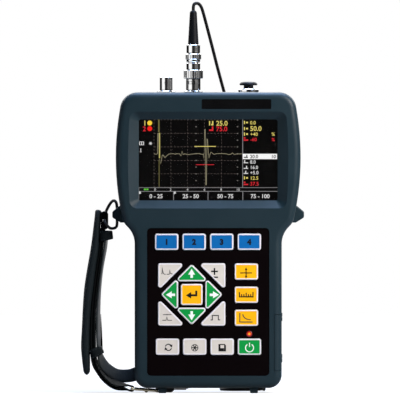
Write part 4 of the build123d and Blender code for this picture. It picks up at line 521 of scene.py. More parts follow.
def coil_points():
    """Turns wound in layers, three turns inwards, up a layer, three turns outwards.
    A turn changes column between two thirds and five sixths of its way round, and the last of
    a layer rises in its last sixth, so no turn touches another."""
    times, radii, heights = [0.0], [COIL_OUTER_R], [COIL_LOW_Z]
    for turn in range(COIL_COLUMNS * COIL_LAYERS):
        layer, place = divmod(turn, COIL_COLUMNS)
        last = place == COIL_COLUMNS - 1
        step = 0 if last else (-COIL_PITCH if layer % 2 == 0 else COIL_PITCH)
        rise = COIL_PITCH if last and layer < COIL_LAYERS - 1 else 0
        times += [turn + 2 / 3, turn + 5 / 6, turn + 1]
        radii += [radii[-1], radii[-1] + step, radii[-1] + step]
        heights += [heights[-1], heights[-1], heights[-1] + rise]
    t = np.arange(COIL_TURNS * POINTS_A_TURN + 1) / POINTS_A_TURN
    r, z, a = np.interp(t, times, radii), np.interp(t, times, heights), 2 * math.pi * t
    return np.stack([COIL_X + r * np.cos(a), COIL_Y + r * np.sin(a), z], axis=1)


def cord_line(name, points, diameter, material):
    """A round cord on a smooth spline with these control points."""
    curve = bpy.data.curves.new(name, "CURVE")
    curve.dimensions = "3D"
    spline = curve.splines.new("NURBS")
    spline.points.add(len(points) - 1)
    spline.points.foreach_set("co", np.c_[np.asarray(points) * MM, np.ones(len(points))].ravel())
    spline.order_u = 3
    spline.use_endpoint_u = True
    curve.resolution_u = 6
    curve.bevel_depth = diameter / 2 * MM
    curve.bevel_resolution = 3
    curve.use_fill_caps = True
    curve.materials.append(material)
    return placed(name, curve)


# Polyurethane jacket over a thin coaxial lead: smooth, satin, almost black
jacket = textured("cable_polyurethane", "#040405", 0.5, 0.6, 0.004, 0.12)
cable_points = np.vstack([CABLE_ROUTE, coil_points(), TAIL_ROUTE])
cable = cord_line("cable_line", cable_points, CABLE_D, jacket)
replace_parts(cable, "probe_cable", "cable_coil")
braid = braided()
eye_cord = cord_line("strap_cord_line", STRAP_CORD_ROUTE, STRAP_CORD_D, braid)
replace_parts(eye_cord, "strap_cord")

# Finishes of the CAD nodes

# Glass-filled nylon, injection moulded: dark blue-green, satin, fine spark grain
nylon = textured("case_glass_filled_nylon", "#16282f", 0.45, 0.4, 0.02, 0.2)
dress(nylon, "front_shell", "rear_shell", "port_door", "battery_cover")
# Polycarbonate, moulded a shade greyer than the case
dress(textured("stand_polycarbonate", "#23292b", 0.5, 0.4, 0.02, 0.4), "kickstand")
# Moulded nitrile rubber: matt, almost black
rubber = textured("seal_nitrile_rubber", "#06080d", 0.5, 0.5, 0.01, 0.12)
dress(rubber, "shell_seal", "dust_plug", "cable_boot")
# Polyester film printed black on its back, with a fine matt face
dress(textured("keypad_polyester_film", "#080405", 0.5, 0.3, 0.003, 0.02), "keypad_overlay")
# Black acrylic label stock: smoother than the film round the keys
dress(textured("plate_cast_acrylic", "#060607", 0.25, 3.0, 0.002, 0.25), "name_plate")
dress(window_acrylic(), "display_window")
# Display module under its polariser: deep black, barely any sheen
dress(textured("display_polariser", "#050303", 0.45, 1.0, 0.001, 0.05), "lcd_panel")
# Nickel-plated brass, turned about the upright axis
nickel = turned_metal("sockets_nickel_plated_brass", "#d6d6d6", 0.09, (25, 25, 4000))
dress(nickel, "free_socket", "plugged_socket", "socket_nuts", "aux_socket")
dress(nickel, "coupling_nut", "plug_body", "plug_clamp")
dress(turned_metal("probe_plug_nickel_plated_brass", "#d6d6d6", 0.09, (4000, 25, 25)), "probe_plug")
# Fluoropolymer insulator: milky white, waxy
dress(textured("insulator_fluoropolymer", "#e9e6dd", 0.4, 0.5, 0.004), "socket_insulators")
dress(turned_metal("contacts_gold_flash", "#d9a94a", 0.16, (25, 25, 4000)), "socket_contacts")
# Stainless steel screws and pins, machined
stainless = turned_metal("screws_stainless_steel", "#b9bcc0", 0.28, (25, 4000, 25))
dress(stainless, "shell_screws", "battery_screws", "port_hinge_pins")
dress(turned_metal("port_shell_tinned_steel", "#c3c5c8", 0.25, (25, 25, 400)), "usb_socket")
dress(textured("port_body_nylon", "#0b0b0c", 0.45, 0.4, 0.006), "power_jack")
# Solder mask over glass-fibre board: green, glossy
dress(textured("board_solder_mask", "#0f4a2c", 0.3, 1.2, 0.004), "keypad_board", "main_board")
dress(textured("battery_shrink_film", "#26323f", 0.35, 2.0, 0.01), "battery_pack")
# Zinc buckle, plated pale gold and tumbled smooth
dress(turned_metal("buckle_gold_plated_zinc", "#efe2c2", 0.18, (150, 25, 150)), "strap_buckle")
dress(textured("anchor_nylon", "#08090a", 0.5, 0.5, 0.01, 0.35), "strap_anchor")
KEY_FACES = [
    ("keys_blue", "#0462a6", "soft_1 soft_2 soft_3 soft_4"),
    ("keys_yellow", "#fbb70b", "enter cursor calibrate curve"),
    ("keys_green", "#05953e", "up right down left power"),
    ("keys_white", "#d6d0c6", "echo gain pulse gate auto freeze save"),
]
for finish_name, face_colour, names in KEY_FACES:
    dress(key_cap(finish_name + "_two_shot_abs", face_colour), *["key_" + n for n in names.split()])


# Lamp over the power key: a red dome, hottest in its middle

LAMP_X, LAMP_Z, LAMP_R, LAMP_RISE = 30.8, 44.6, 2.3, 0.5
LAMP_STOPS = [(0.25, "#ffb414"), (0.45, "#f5321e"), (0.7, "#a01512")]


def lamp_glow():
    """Tinted lens over a lit chip: yellow in the middle, red round it, dark red at its edge."""
    made, node = shader("lamp_tinted_acrylic", "#3a0504", 0.25)
    place = node("TexCoord", output="Object")
    from_middle = node("Mapping", Vector=place, Location=(-LAMP_X * MM, 0, -LAMP_Z * MM))
    flat = node("VectorMath MULTIPLY", [from_middle, (1, 0, 1)])
    radius = node("VectorMath LENGTH", [flat], "Value")
    glow = node("ValToRGB", [node("MapRange", [radius, 0.0, LAMP_R * MM])])
    stops = glow.node.color_ramp.elements
    stops[0].color, stops[1].color = colour("#ffd21e"), colour("#1c0303")
    for position, code in LAMP_STOPS:
        stops.new(position).color = colour(code)
    return finished(made, Emission_Color=glow, Emission_Strength=1.0)


def lamp_dome():
    """A shallow dome on the overlay: rings of radius R sin(a), raised by the rise's cos(a)."""
    rings, around = 10, 32
    a = np.linspace(math.pi / 2, 0.08, rings)
    b = full_turn(around)
    r = LAMP_R * np.sin(a)[:, None]
    y = FRONT_Y + 0.35 - LAMP_RISE * np.cos(a)[:, None] + np.zeros(around)
    front = np.stack([LAMP_X + r * np.cos(b), y, LAMP_Z + r * np.sin(b)], axis=-1)
    back = front[:1] + (0, 0.1, 0)
    grid = np.concatenate([back, front])
    return turned_out(grid, grid_faces(rings + 1, around))


lamp_glass = lamp_glow()
dress(lamp_glass, "power_led")
piece_of("lamp_lens", [lamp_dome()], lamp_glass)


# Display picture, from back to front in layers of film

GRID_Z = [195, 184.9, 174.6, 164.7, 154.6]
GRID_X = [-40.7, -28, -15.5, -2.8, 10]
SCALE_X = [-39.9, -28.2, -15.5, -2.8, 9.7, 22.4]
GRID_RIGHT = 22.2
DOT_X, DOT_Z = [-9.1, 22], np.arange(159.3, 205.3, 5.05)
PLOT_LEFT, PLOT_LOW, PLOT_HIGH = -40.7, 154.6, 205.4
SCREEN_LEFT, SCREEN_RIGHT = -52.1, 52.0
SCALE_HIGH_Z, KEY_ROW_HIGH_Z, KEY_ROW_LOW_Z = 154.3, 151.5, 144.9
LAYER_PITCH = 0.04
ECHO_LINE = [
    (-40.7, 179.7), (-39.2, 179.4), (-38, 179.7), (-37.9, 194.8), (-37.2, 194.8), (-36.9, 172.5),
    (-36.3, 176), (-35.7, 172), (-35.1, 174.6), (-34.6, 178.4), (-33.9, 178.9), (-32.5, 176.8),
    (-31.1, 178.3), (-29.6, 179.5), (-26.4, 179.8), (-24.9, 179.4), (-23.6, 179.8), (-21.3, 179.6),
    (-20.4, 178), (-19.6, 181.6), (-18.9, 179.2), (-17.4, 179.7), (-15.2, 179), (-13.2, 179.4),
    (-9.6, 179.7), (-6.9, 179.9), (-4.6, 179.2), (-3.6, 179.6), (-3.1, 175.4), (-2.6, 197.9),
    (-2.2, 198.1), (-1.8, 156.4), (-1.4, 156.4), (-0.9, 190.8), (-0.5, 190.6), (0.1, 180),
    (0.6, 176.3), (1.3, 179.2), (2.1, 180.9), (3.1, 180.2), (4.4, 179.2), (6.2, 179.8),
    (10.1, 179.9), (13.3, 179.7), (15.4, 179.2), (16.9, 179.3), (18.2, 180.3), (19.6, 179.2),
    (21.2, 179.5), (25.6, 179.7),
]
grid_marks = (
    [q for z in GRID_Z for q in dashes((PLOT_LEFT, z), (GRID_RIGHT, z), 1.3, 1.2, 0.3)]
    + [q for x in GRID_X for q in dashes((x, PLOT_LOW), (x, PLOT_HIGH), 1.1, 1.4, 0.3)]
    + dashes((PLOT_LEFT, PLOT_HIGH - 0.2), (GRID_RIGHT, PLOT_HIGH - 0.2), 1.2, 1.3, 0.3)
)
frame_lines = (
    lines(0.45, [(25.9, SCALE_HIGH_Z), (25.9, PLOT_HIGH)])
    + lines(0.35, [(SCREEN_LEFT, SCALE_HIGH_Z), (SCREEN_RIGHT, SCALE_HIGH_Z)])
    + lines(
        0.4,
        [(SCREEN_LEFT, KEY_ROW_HIGH_Z), (SCREEN_RIGHT, KEY_ROW_HIGH_Z)],
        [(SCREEN_LEFT, SCALE_HIGH_Z), (SCREEN_LEFT, KEY_ROW_LOW_Z)],
    )
    + lines(0.5, *[[(x, KEY_ROW_LOW_Z), (x, KEY_ROW_HIGH_Z)] for x in (-26, -0.15, 26)])
)
corner_tabs = [(0, 151.3), (0, 149.4), (1.5, 149.9), (1.2, 151.3)]
status_signs = (
    [slab(x, x + 0.6, 186.2, 188.9) for x in (-51.8, -50.3, -48.8)]
    + lines(0.4, [(-51.8, 188.7), (-48.2, 188.7)], [(-51.8, 186.4), (-48.2, 186.4)])
    + lines(0.5, *[arc(-43.3, 187.5, 1.2, a, a + 180, 2) for a in (0, 60, 120)])
    + lines(0.5, [(-50.6, 181), (-50.6, 183.8)])
    + lines(0.4, [(-51.2, 181.1), (-50, 181.1)])
)
# Name, colour, layer, flat marks, then figures with their x, z, height, weight and alignment
DISPLAY_PARTS = [
    ("grid", "#5a504c", 1, grid_marks),
    ("dots", "#7a7773", 1, [q for x in DOT_X for q in bars(x - 0.5, x + 0.5, 0.6, *DOT_Z)]),
    ("lines", "#8a8a8c", 1, frame_lines),
    ("trace", "#9a9478", 2, stroke(ECHO_LINE, 0.34)),
    ("pulse", "#6f6a3c", 2, [slab(-37.6, -36.5, 196, 205.4), slab(-37.1, -36.6, 154.6, 175)]),
    ("pulse_core", "#b7ae62", 3, [slab(-37, -36.1, 176.5, 195.5)]),
    (
        "yellow", "#e2d26c", 3,
        bars(-10.3, 5.7, 0.5, 185) + bars(0.7, 1.5, 3.3, 201) + bars(2.3, 3.9, 1.2, 201)
        + bars(2.9, 3.9, 2.1, 202.2) + bars(26.8, 27.6, 2.4, 202, 197.4, 193.3, 160.4)
        + bars(28.4, 29.9, 1.2, 202.6, 198, 193.9, 161),
        ("1", -48.9, 200.9, 3.9), ("25.0", 5.9, 200.9, 3.7), ("0.0", 31.4, 201.8, 2.6),
        ("50.0", 31.4, 196.9, 3.7), ("+40", 31.6, 193.2, 2.6), ("%", 47.6, 193.2, 2.6),
        ("12.5", 31.4, 160.2, 2.7),
    ),
    ("yellow_lamp", "#ffd63c", 3, [arc(-43.9, 202.8, 1.85, 0, 345, 24)]),
    (
        "red", "#d92832", 3,
        bars(-9.2, 4.4, 0.45, 171.3) + bars(0.7, 3.9, 1.1, 196.9) + bars(2.7, 3.9, 2.2, 198)
        + bars(26.6, 30, 1, 189.5, 156.2) + bars(26.6, 28, 1, 191.1, 157.8),
        ("2", -49.2, 196.7, 3.7), ("75.0", 5.9, 196.7, 3.6), ("-60", 31.6, 189.2, 2.7),
        ("%", 47.6, 189.2, 2.6), ("37.5", 31.4, 155.9, 2.8),
    ),
    ("red_lamp", "#f5201a", 3, [arc(-43.9, 198.6, 1.85, 0, 345, 24)]),
    (
        "white", "#d9d9d9", 3,
        bars(26.6, 30, 0.7, 172.6, 168.4, 164.6) + bars(27, 27.8, 1.6, 173.3)
        + bars(28.4, 29.2, 1.6, 169.1) + bars(27.8, 28.6, 1.6, 165.3) + status_signs
        + [np.array(corner_tabs) + (x, 0) for x in (-51.9, -25.7)],
        ("8.0", 31.4, 172.3, 2.6), ("16.0", 31.4, 168.3, 2.6), ("+5.0", 31.4, 164.3, 2.6),
        *[(str(2 * i), x, 151.9, 2.0, 0.0, "CENTER") for i, x in enumerate(SCALE_X)],
        *[
            (f"{25 * i} - {25 * i + 25}", x, 146.4, 3.1, 0.03, "CENTER")
            for i, x in enumerate((-39.1, -13.1, 12.9, 39))
        ],
    ),
    ("white_bar", "#ffffff", 1, [slab(25.95, 51.7, 175.7, 179.7)]),
    (
        "dark_figures", "#161618", 3,
        [slab(26.8, 29.8, 176.6, 177.4), slab(28.6, 29.4, 177.4, 178.9)],
        ("20.0", 31.4, 176.4, 2.6, 0.03), ("10", 47.2, 176.4, 2.6, 0.03),
    ),
    ("charge", "#5fc93a", 3, bars(-48.3, -46.7, 1.2, 152.4) + bars(-46.4, -44.9, 1.2, 152.4)),
]


def readout(text, x, z, height, weight=0.02, align="LEFT"):
    """Plain figures in the display's plane."""
    return figures(text, x, z, height, LCD_Y - 3 * LAYER_PITCH, FILM_T, weight, align)


for part_name, code, layer, marks, *texts in DISPLAY_PARTS:
    shapes = film(marks, LCD_Y - LAYER_PITCH * layer, FILM_T) + [readout(*text) for text in texts]
    glow = lit(f"display_{part_name}_light", code)
    piece_of("display_" + part_name, shapes, glow, smooth=False)


# Key legends, printed on the faces of the keys; each moves with its key

# Screen-printed ink: matt, a few hundredths of a millimetre thick
ink_black = textured("legend_black_ink", "#0b0a0a", 0.5, 0.4, 0.002, 0.2)
ink_white = textured("legend_white_ink", "#eef5ee", 0.5, 0.4, 0.002, 0.2)
ink_grey = textured("legend_grey_ink", "#3a3838", 0.5, 0.4, 0.002, 0.2)


def aimed(outline, x, z, angle):
    """An outline drawn along +X, turned by an angle in degrees and moved to a point."""
    c, s = math.cos(math.radians(angle)), math.sin(math.radians(angle))
    return np.array(outline) @ np.array([(c, s), (-s, c)]) + (x, z)


def arrow(x, z, angle):
    """A broad arrow about a middle point: its head and its shaft apart, so that both are
    convex."""
    half, neck, head_half, shaft_half = 3.45, -0.95, 2.6, 0.95
    head = [(half, 0), (neck, head_half), (neck, -head_half)]
    shaft = [(neck, shaft_half), (-half, shaft_half), (-half, -shaft_half), (neck, -shaft_half)]
    return [aimed(head, x, z, angle), aimed(shaft, x, z, angle)]


def wedge(x, z, angle, length, width):
    """A small triangle with its tip at a point."""
    return [aimed([(0, 0), (-length, width / 2), (-length, -width / 2)], x, z, angle)]


FIRST_ECHO = [
    (-35.1, 89.7), (-34.6, 89.7), (-34.5, 94.6), (-33.9, 90.6), (-33.2, 89.5), (-31.9, 89.2)
]
SECOND_ECHO = [
    (-31.2, 89.3), (-29.2, 89.3), (-28.8, 92.6), (-28.3, 89.9), (-27.6, 89.7), (-26.6, 89.4)
]
LEGENDS = {
    "echo": (ink_grey, lines(0.6, FIRST_ECHO) + lines(0.55, SECOND_ECHO)),
    "gain": (
        ink_black,
        bars(2.1, 7.3, 1.1, 90.9) + bars(4.15, 5.25, 5.2, 88.85) + bars(2.1, 7.3, 1, 86.6),
    ),
    "gate": (
        ink_grey,
        lines(
            0.55,
            [(-34, 59), (-27.5, 59)],
            [(-34.4, 54.8), (-31.6, 54.8), (-31, 57.4), (-30.4, 54.8), (-27.1, 54.8)],
        )
        + wedge(-30.8, 58.4, -90, 1, 1.6),
    ),
    "pulse": (
        ink_grey,
        lines(0.75, [(1.8, 55.1), (3.1, 55.1), (3.1, 58.4), (7.6, 58.4), (7.6, 55.1), (9, 55.1)]),
    ),
    "cursor": (
        ink_black,
        lines(0.75, [(28.4, 87.8), (28.4, 92.8)], [(24, 90.3), (32.8, 90.3)])
        + wedge(28.4, 94.6, 90, 2, 2)
        + wedge(28.4, 86.1, -90, 2, 2),
    ),
    "calibrate": (
        ink_black,
        lines(0.9, [(23, 72.4), (34, 72.4)])
        + [slab(x - 0.4, x + 0.4, 72.6, top) for x, top in zip(
            np.linspace(23.4, 33.6, 7), (76, 74.4, 74.4, 75.4, 74.4, 74.4, 76)
        )],
    ),
    "curve": (
        ink_grey,
        lines(
            0.75,
            [(23.7, 60.2), (23.7, 53.5), (33.3, 53.5)],
            [(25.9, 59.3), (26.3, 58), (27.2, 56.7), (28.6, 55.8), (30.3, 55.3), (31.9, 55.2)],
        ),
    ),
    "enter": (
        ink_black,
        wedge(-16.7, 73.5, 180, 3.9, 4.9) + bars(-13, -8.2, 1.5, 72.8)
        + bars(-9.7, -8.2, 2.7, 74.3),
    ),
    "up": (ink_white, arrow(-12.4, 90, 90)),
    "down": (ink_white, arrow(-12.4, 58.2, -90)),
    "left": (ink_white, arrow(-28.3, 73.9, 180)),
    "right": (ink_white, arrow(4.6, 73.9, 0)),
    "auto": (
        ink_black,
        lines(0.75, arc(-29.8, 34.5, 2.35, 30, 165), arc(-29.8, 34.5, 2.35, 210, 345))
        + wedge(-27.2, 34.2, -70, 2.2, 2.4)
        + wedge(-32.4, 34.8, 110, 2.2, 2.4),
    ),
    "freeze": (
        ink_black,
        stroke(arc(-10.1, 34.2, 2.45, 0, 345, 24), 0.5, True)
        + lines(0.75, *[arc(-10.1, 34.2, 2.3, a, a + 180, 2) for a in (0, 60, 120)]),
    ),
    "save": (
        ink_black,
        stroke([(8.1, 31.9), (8.1, 36.6), (12.2, 36.6), (12.9, 35.9), (12.9, 31.9)], 0.8, True)
        + bars(9.2, 11.8, 2, 31.9) + bars(8.4, 9.2, 4.5, 31.9) + bars(11.9, 12.7, 4.1, 31.9),
    ),
    "power": (ink_white, lines(0.75, arc(31, 34.1, 3, 122, 418, 30), [(31, 34.8), (31, 38)])),
}
LEGEND_Y, LEGEND_T = KEY_DISH_Y - INK_T, INK_T - 0.005
legends = {key: (ink, film(marks, LEGEND_Y, LEGEND_T)) for key, (ink, marks) in LEGENDS.items()}
for number, x in enumerate((-31.2, -10.6, 10.1, 30.8), 1):
    digit = figures(str(number), x, 111.6, 4.1, LEGEND_Y, LEGEND_T, 0.085, "CENTER")
    legends[f"soft_{number}"] = (ink_black, [digit])
for key, (ink, shapes) in legends.items():
    piece_of("legend_" + key, shapes, ink, f"key_{key}_body", smooth=False)


# Hand strap

pad_hide = cowhide("pad_dyed_cowhide", "#171f22")
# Waxed thread: black on the bead, a shade lighter than the leather elsewhere
waxed_black = textured("bead_waxed_polyester", "#050607", 0.8, 0.3, 0.01, 0.05)
waxed = textured("thread_waxed_polyester", "#2a3133", 0.7, 0.3, 0.01, 0.1)
PAD_CHANNEL = 3.2
# Lengths over which the pad's low end and its high end are drawn in, and over which it narrows
PAD_LOW_ROUND, PAD_HIGH_ROUND, PAD_NARROWS = 3.4, 2.6, 12
PAD_STITCH, PAD_STITCH_PITCH, PAD_STITCH_R = 2.6, 3.6, 0.28
KEEPER_STITCH, KEEPER_STITCH_R = 1.4, 0.22


def band_piece(name, line, material, power=5.0, around=20, closed=False):
    """A strap swept along a line of centres, directions across and outward, half width and half
    thickness. Its UV map holds real millimetres: U round its section, V along the line."""
    piece = piece_of(name, [swept(*line, power, around, closed)], material)
    centres, _, _, half_width, half_thick = line
    ring = rounded_ring(around, 5.0)
    u = ring[:, 0] * np.mean(half_width) + np.sign(ring[:, 1]) * 0.3 * np.mean(half_thick)
    v = travel_along(centres)
    index = np.empty(len(piece.data.loops), np.int32)
    piece.data.loops.foreach_get("vertex_index", index)
    uv = np.stack([u[index % around], v[index // around]], axis=1)
    piece.data.uv_layers.new(name="UVMap").data.foreach_set("uv", uv.ravel())
    return piece


def dome(share):
    """The root of 1 - d^2, which rises from 0 at a tip to 1 where the share is 1 or more."""
    return np.sqrt(1 - (1 - np.clip(share, 0, 1)) ** 2)


def strap_pad():
    """A crowned pad: a rounded flat section carried up the middle line, drawn in to a round end
    at both tips by the root of 1 - d^2, with a sewn channel 3.2 mm in from each edge, where the
    thickness dips by a bell curve, and a slow swell along the length as the padding settles."""
    count, around = 120, 64
    line = smooth_line([(x, STRAP_MIDDLE_Y, z, t) for x, z, t in PAD_LINE], count, crowd_ends=True)
    centres, thick = line[:, :3], line[:, 3]
    across, outward = strap_frames(centres, np.zeros(count))
    travel = travel_along(centres)
    left = travel[-1] - travel
    end_thick = dome(np.minimum(travel / PAD_LOW_ROUND, left / PAD_HIGH_ROUND)).clip(0.06)
    end_wide = 0.7 + 0.3 * dome(np.minimum(travel, left) / PAD_NARROWS)
    ring = rounded_ring(around, 3.6)
    half_width = PAD_HALF_WIDTH * end_wide[:, None]
    place = ring[:, 0] * half_width
    channel = np.exp(-(((np.abs(place) - (half_width - PAD_CHANNEL)) / 0.7) ** 2))
    swell = 1 + 0.03 * np.sin(travel / 9.0)[:, None]
    height = ring[:, 1] * (thick / 2 * end_thick)[:, None] * (1 - 0.16 * channel) * swell
    shift = across[:, None] * place[..., None] + outward[:, None] * height[..., None]
    shape = turned_out(centres[:, None] + shift, grid_faces(count, around))
    return shape, (centres, across, outward, thick, travel)


pad_shape, pad_frames = strap_pad()
pad = piece_of("strap_pad_padded", [pad_shape], pad_hide)
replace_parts(pad, "strap_pad")


def pad_stitches():
    """Threads in the channel along both edges of the pad's outer face."""
    centres, across, outward, thick, travel = pad_frames
    here = partial(sampled, travel=travel, at=np.arange(7, travel[-1] - 7, PAD_STITCH_PITCH))
    out = here(outward)
    out *= -np.sign(out[:, :1])
    along = unit(here(unit(np.gradient(centres, axis=0))))
    rise = out * here(thick[:, None]) / 2 * 0.83
    inset = here(across) * (PAD_HALF_WIDTH - PAD_CHANNEL)
    rows = [here(centres) + side * inset + rise for side in (-1, 1)]
    return [t for row in rows for t in threads(row, along, out, PAD_STITCH, PAD_STITCH_R)]


piece_of("pad_stitches", pad_stitches(), waxed)


def strap_line(stations, count):
    """A strap's middle line, roll, half width and half thickness, along its stations."""
    line = smooth_line(stations, count)
    return line[:, :3], line[:, 3], line[:, 4] / 2, line[:, 5] / 2


def strap_webbing():
    """One length of webbing: down its outer layer, round the buckle's bar and up its inner layer.
    Each layer is half the strap's thickness, set half of that from the middle line, and the gap
    opens to the turn's radius at the bar."""
    count, turn_count = 90, 14
    centres, roll, half_width, half_thick = strap_line(WEBBING_STATIONS, count)
    outward = strap_frames(centres, roll)[1]
    pull = np.linspace(0, 1, count) ** 8
    gap = half_thick / 2 * (1 - pull) + WEBBING_TURN_R * pull
    shift = outward * np.sign(outward[0, 0]) * gap[:, None]
    a = np.radians(np.linspace(250, 430, turn_count))
    round_bar = WEBBING_TURN_R * np.stack([np.cos(a), 0 * a, np.sin(a)], axis=1)
    turn = round_bar + (BUCKLE_BAR_X, STRAP_MIDDLE_Y, BUCKLE_BAR_Z)
    path = np.vstack([centres - shift, turn, (centres + shift)[::-1]])
    rolls = np.r_[roll, 0 * a, -roll[::-1]]
    wide, thin = [np.r_[h, 0 * a + h[-1], h[::-1]] for h in (half_width, half_thick / 2 * 0.995)]
    weave = woven("strap_woven_polyamide", "#080c0d", 0.8, 0.12)
    line = (path, *strap_frames(path, rolls), wide, thin)
    return band_piece("strap_webbing_woven", line, weave)


def end_loop():
    """The webbing's end, folded to a loop for the cord: a closed racetrack in the X-Z plane. Its
    spare length lies folded inside, above and below the cord, as two short upright bands."""
    a = full_turn(48)
    half_w, half_h, radius = 2.05, 6.2, 1.9
    middle = (LOOP_X, STRAP_MIDDLE_Y, LOOP_Z)
    out = np.stack([np.cos(a), 0 * a, np.sin(a)], axis=1)
    path = middle + np.sign(out) * (half_w - radius, 0, half_h - radius) + radius * out
    across = np.tile((0.0, 1.0, 0.0), (48, 1))
    # Painted shade: the loop and its folds take a darker copy of the webbing's weave, #040506
    # against #080c0d, for the shade under the pad's top end
    weave = woven("loop_polyamide_painted_shade", "#040506", 0.8, 0.12)
    for name, low, high in (("strap_fold_lower", -5.5, -0.55), ("strap_fold_upper", 0.95, 5.5)):
        upright = middle + np.linspace(low, high, 6)[:, None] * (0, 0, 1)
        fold = (upright, across[:6], np.tile((1.0, 0.0, 0.0), (6, 1)), 10.6, 1.42)
        band_piece(name, fold, weave, 6.0)
    loop = (path, across, out, 11.0, 0.8)
    band_piece("strap_end_loop", loop, weave, closed=True)


webbing_piece = strap_webbing()
end_loop()
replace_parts(webbing_piece, "strap_webbing")


def lining_hide():
    """Bridle leather: rubbed smooth down its hanging length, and creased across, about 1.2 mm
    apart, where it bends under the case. V of the UV map is millimetres along it."""
    base = "#151d1f"
    made, node = shader("lining_bridle_leather", base, 0.4, 0.45)
    uv = node("UVMap", uv_map="UVMap")
    along = node("SeparateXYZ", [uv], "Y")
    bend = node("MapRange", [along, 78.0, 100.0])
    gloss = node("MapRange", [bend, 0.0, 1.0, 0.34, 0.9])
    drawn = node("Mapping", Vector=uv, Scale=(0.12, 0.8, 1.0))
    creases = node("TexNoise", Vector=drawn, Scale=1.0, Detail=3.0)
    tone = node("Mix", shades(creases, base, 0.6, 1.5), **BLEND)
    raised = node("Bump", Height=creases, Distance=0.25 * MM, Strength=bend)
    return finished(made, Base_Color=tone, Roughness=gloss, Normal=raised)


def strap_lining():
    """The lining strap, carried along its stations."""
    centres, roll, *halves = strap_line(LINING_STATIONS, 150)
    line = (centres, *strap_frames(centres, roll), *halves)
    return band_piece("strap_lining_band", line, lining_hide(), 3.0, 24)


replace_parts(strap_lining(), "strap_lining")


def lining_bead():
    """A round bead down the lining's rear edge, drawn in to a point at its upper end."""
    line = smooth_line([(x, BEAD_Y, z) for x, z in BEAD_LINE], 40)
    radius = BEAD_R * np.sqrt(np.linspace(0.02, 1, 40)).clip(0.1)
    return swept(line, *strap_frames(line, np.zeros(40)), radius, radius, 2.0, 12)


piece_of("lining_bead", [lining_bead()], waxed_black)

# Keepers: X, Z where each leaves the pad, X, Z of its far side, and its width
KEEPERS = [((-81.6, 117.8), (-72.6, 118.7), 8.0), ((-88.6, 28.6), (-80.1, 32.4), 7.2)]
KEEPER_FRONT_Y, KEEPER_REAR_Y, KEEPER_HALF_T, KEEPER_TURN_R = -8.95, 14.95, 0.7, 1.3


def keeper_loop(start, far, width):
    """A leather strip that leaves the pad, passes in front of the straps, turns round their far
    side and goes back behind them: straight runs joined by quarter circles."""
    (sx, sz), (fx, fz) = start, far
    reach = math.hypot(fx - sx, fz - sz)
    run = np.array([fx - sx, 0.0, fz - sz]) / reach
    r = KEEPER_TURN_R
    quarter = np.radians(np.linspace(0, 90, 7))
    d = np.r_[0, reach * 0.5, reach - r + r * np.sin(quarter)]
    y = np.r_[0, 0, r - r * np.cos(quarter)] + KEEPER_FRONT_Y
    d, y = np.r_[d, d[::-1]], np.r_[y, KEEPER_FRONT_Y + KEEPER_REAR_Y - y[::-1]]
    path = (sx, 0.0, sz) + run * d[:, None] + y[:, None] * (0, 1, 0)
    along = unit(np.gradient(path, axis=0))
    across = np.tile(np.cross((0.0, 1.0, 0.0), run), (len(path), 1))
    narrowed = width / 2 * (1 - 0.2 * (d / reach) ** 2)
    return path, across, np.cross(along, across), narrowed


keeper_hide = cowhide("keeper_dyed_cowhide", "#12181a")
keeper_shapes, keeper_threads = [], []
for start, far, width in KEEPERS:
    path, across, outward, half = keeper_loop(start, far, width)
    keeper_shapes.append(swept(path, across, outward, half, KEEPER_HALF_T))
    run = path[2] - path[0]
    places = np.linspace(path[0] + run * 0.1, path[2], 4)
    inset = np.interp(np.linspace(0.1, 1, 4), [0, 1], [half[0], half[2]])[:, None] - 1.0
    along, out = np.tile(unit(run), (4, 1)), np.tile((0.0, -1.0, 0.0), (4, 1))
    for side in (-1, 1):
        row = places + across[:4] * side * inset + out * KEEPER_HALF_T * 0.9
        keeper_threads += threads(row, along, out, KEEPER_STITCH, KEEPER_STITCH_R)
keepers = piece_of("strap_keeper_loops", keeper_shapes, keeper_hide)
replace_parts(keepers, "strap_keepers")
piece_of("keeper_stitches", keeper_threads, waxed)


# Stage, light and camera


def ray_kinds(node):
    """Sockets that say whether a ray is the camera's, a mirrored one, or one that passed
    straight through glass."""
    names = ("Is Camera Ray", "Is Glossy Ray", "Is Transmission Ray", "Ray Depth")
    from_camera, mirrored, clear, depth = [node("LightPath", (), name) for name in names]
    through = node("Math MULTIPLY", [clear, node("Math LESS_THAN", [depth, 2.5])])
    return from_camera, mirrored, through


def studio_floor():
    """A wide sheet of white card. It adds a little light of its own to what the camera sees,
    and more away from the object, so that it clips to white where nothing shades it."""
    half = 4.0
    corners = [(-half, -half, 0), (half, -half, 0), (half, half, 0), (-half, half, 0)]
    mesh = bpy.data.meshes.new("floor")
    mesh.from_pydata(corners, [], [(0, 1, 2, 3)])
    made, node = shader("floor_white_card", "#989898", 0.9, 0.0)
    away = node("VectorMath LENGTH", [node("TexCoord", output="Object")], "Value")
    rise = node("MapRange", [away, 0.1, 0.6, 0.72, 1.0])
    from_camera, mirrored, through = ray_kinds(node)
    dimmed = node("Math MULTIPLY_ADD", [mirrored, 0.25, through])
    lift = node("Math MULTIPLY", [node("Math MAXIMUM", [from_camera, dimmed]), rise])
    mesh.materials.append(finished(made, Emission_Color=(1, 1, 1, 1), Emission_Strength=lift))
    in_scene("floor", mesh)


# What polished metal sees at its own height round the room, by degrees from straight ahead of
# the object's front towards its right: a white card at the left, a dim room at the right, and
# dark flags beside and behind
ROOM = [
    (-86, 0.01), (-74, 1), (-28, 1), (-18, 0.02), (20, 0.02), (30, 0.13), (84, 0.12), (94, 0.01)
]
FLAG = (0.01, 0.01, 0.01, 1)
ROOM_LEVEL, BACKDROP_LEVEL, BACKLIGHT_LEVEL, PLAIN_LEVEL = 1.5, 1.0, 6.0, 0.13
CEILING = ("#a4c6f4", 2.0)


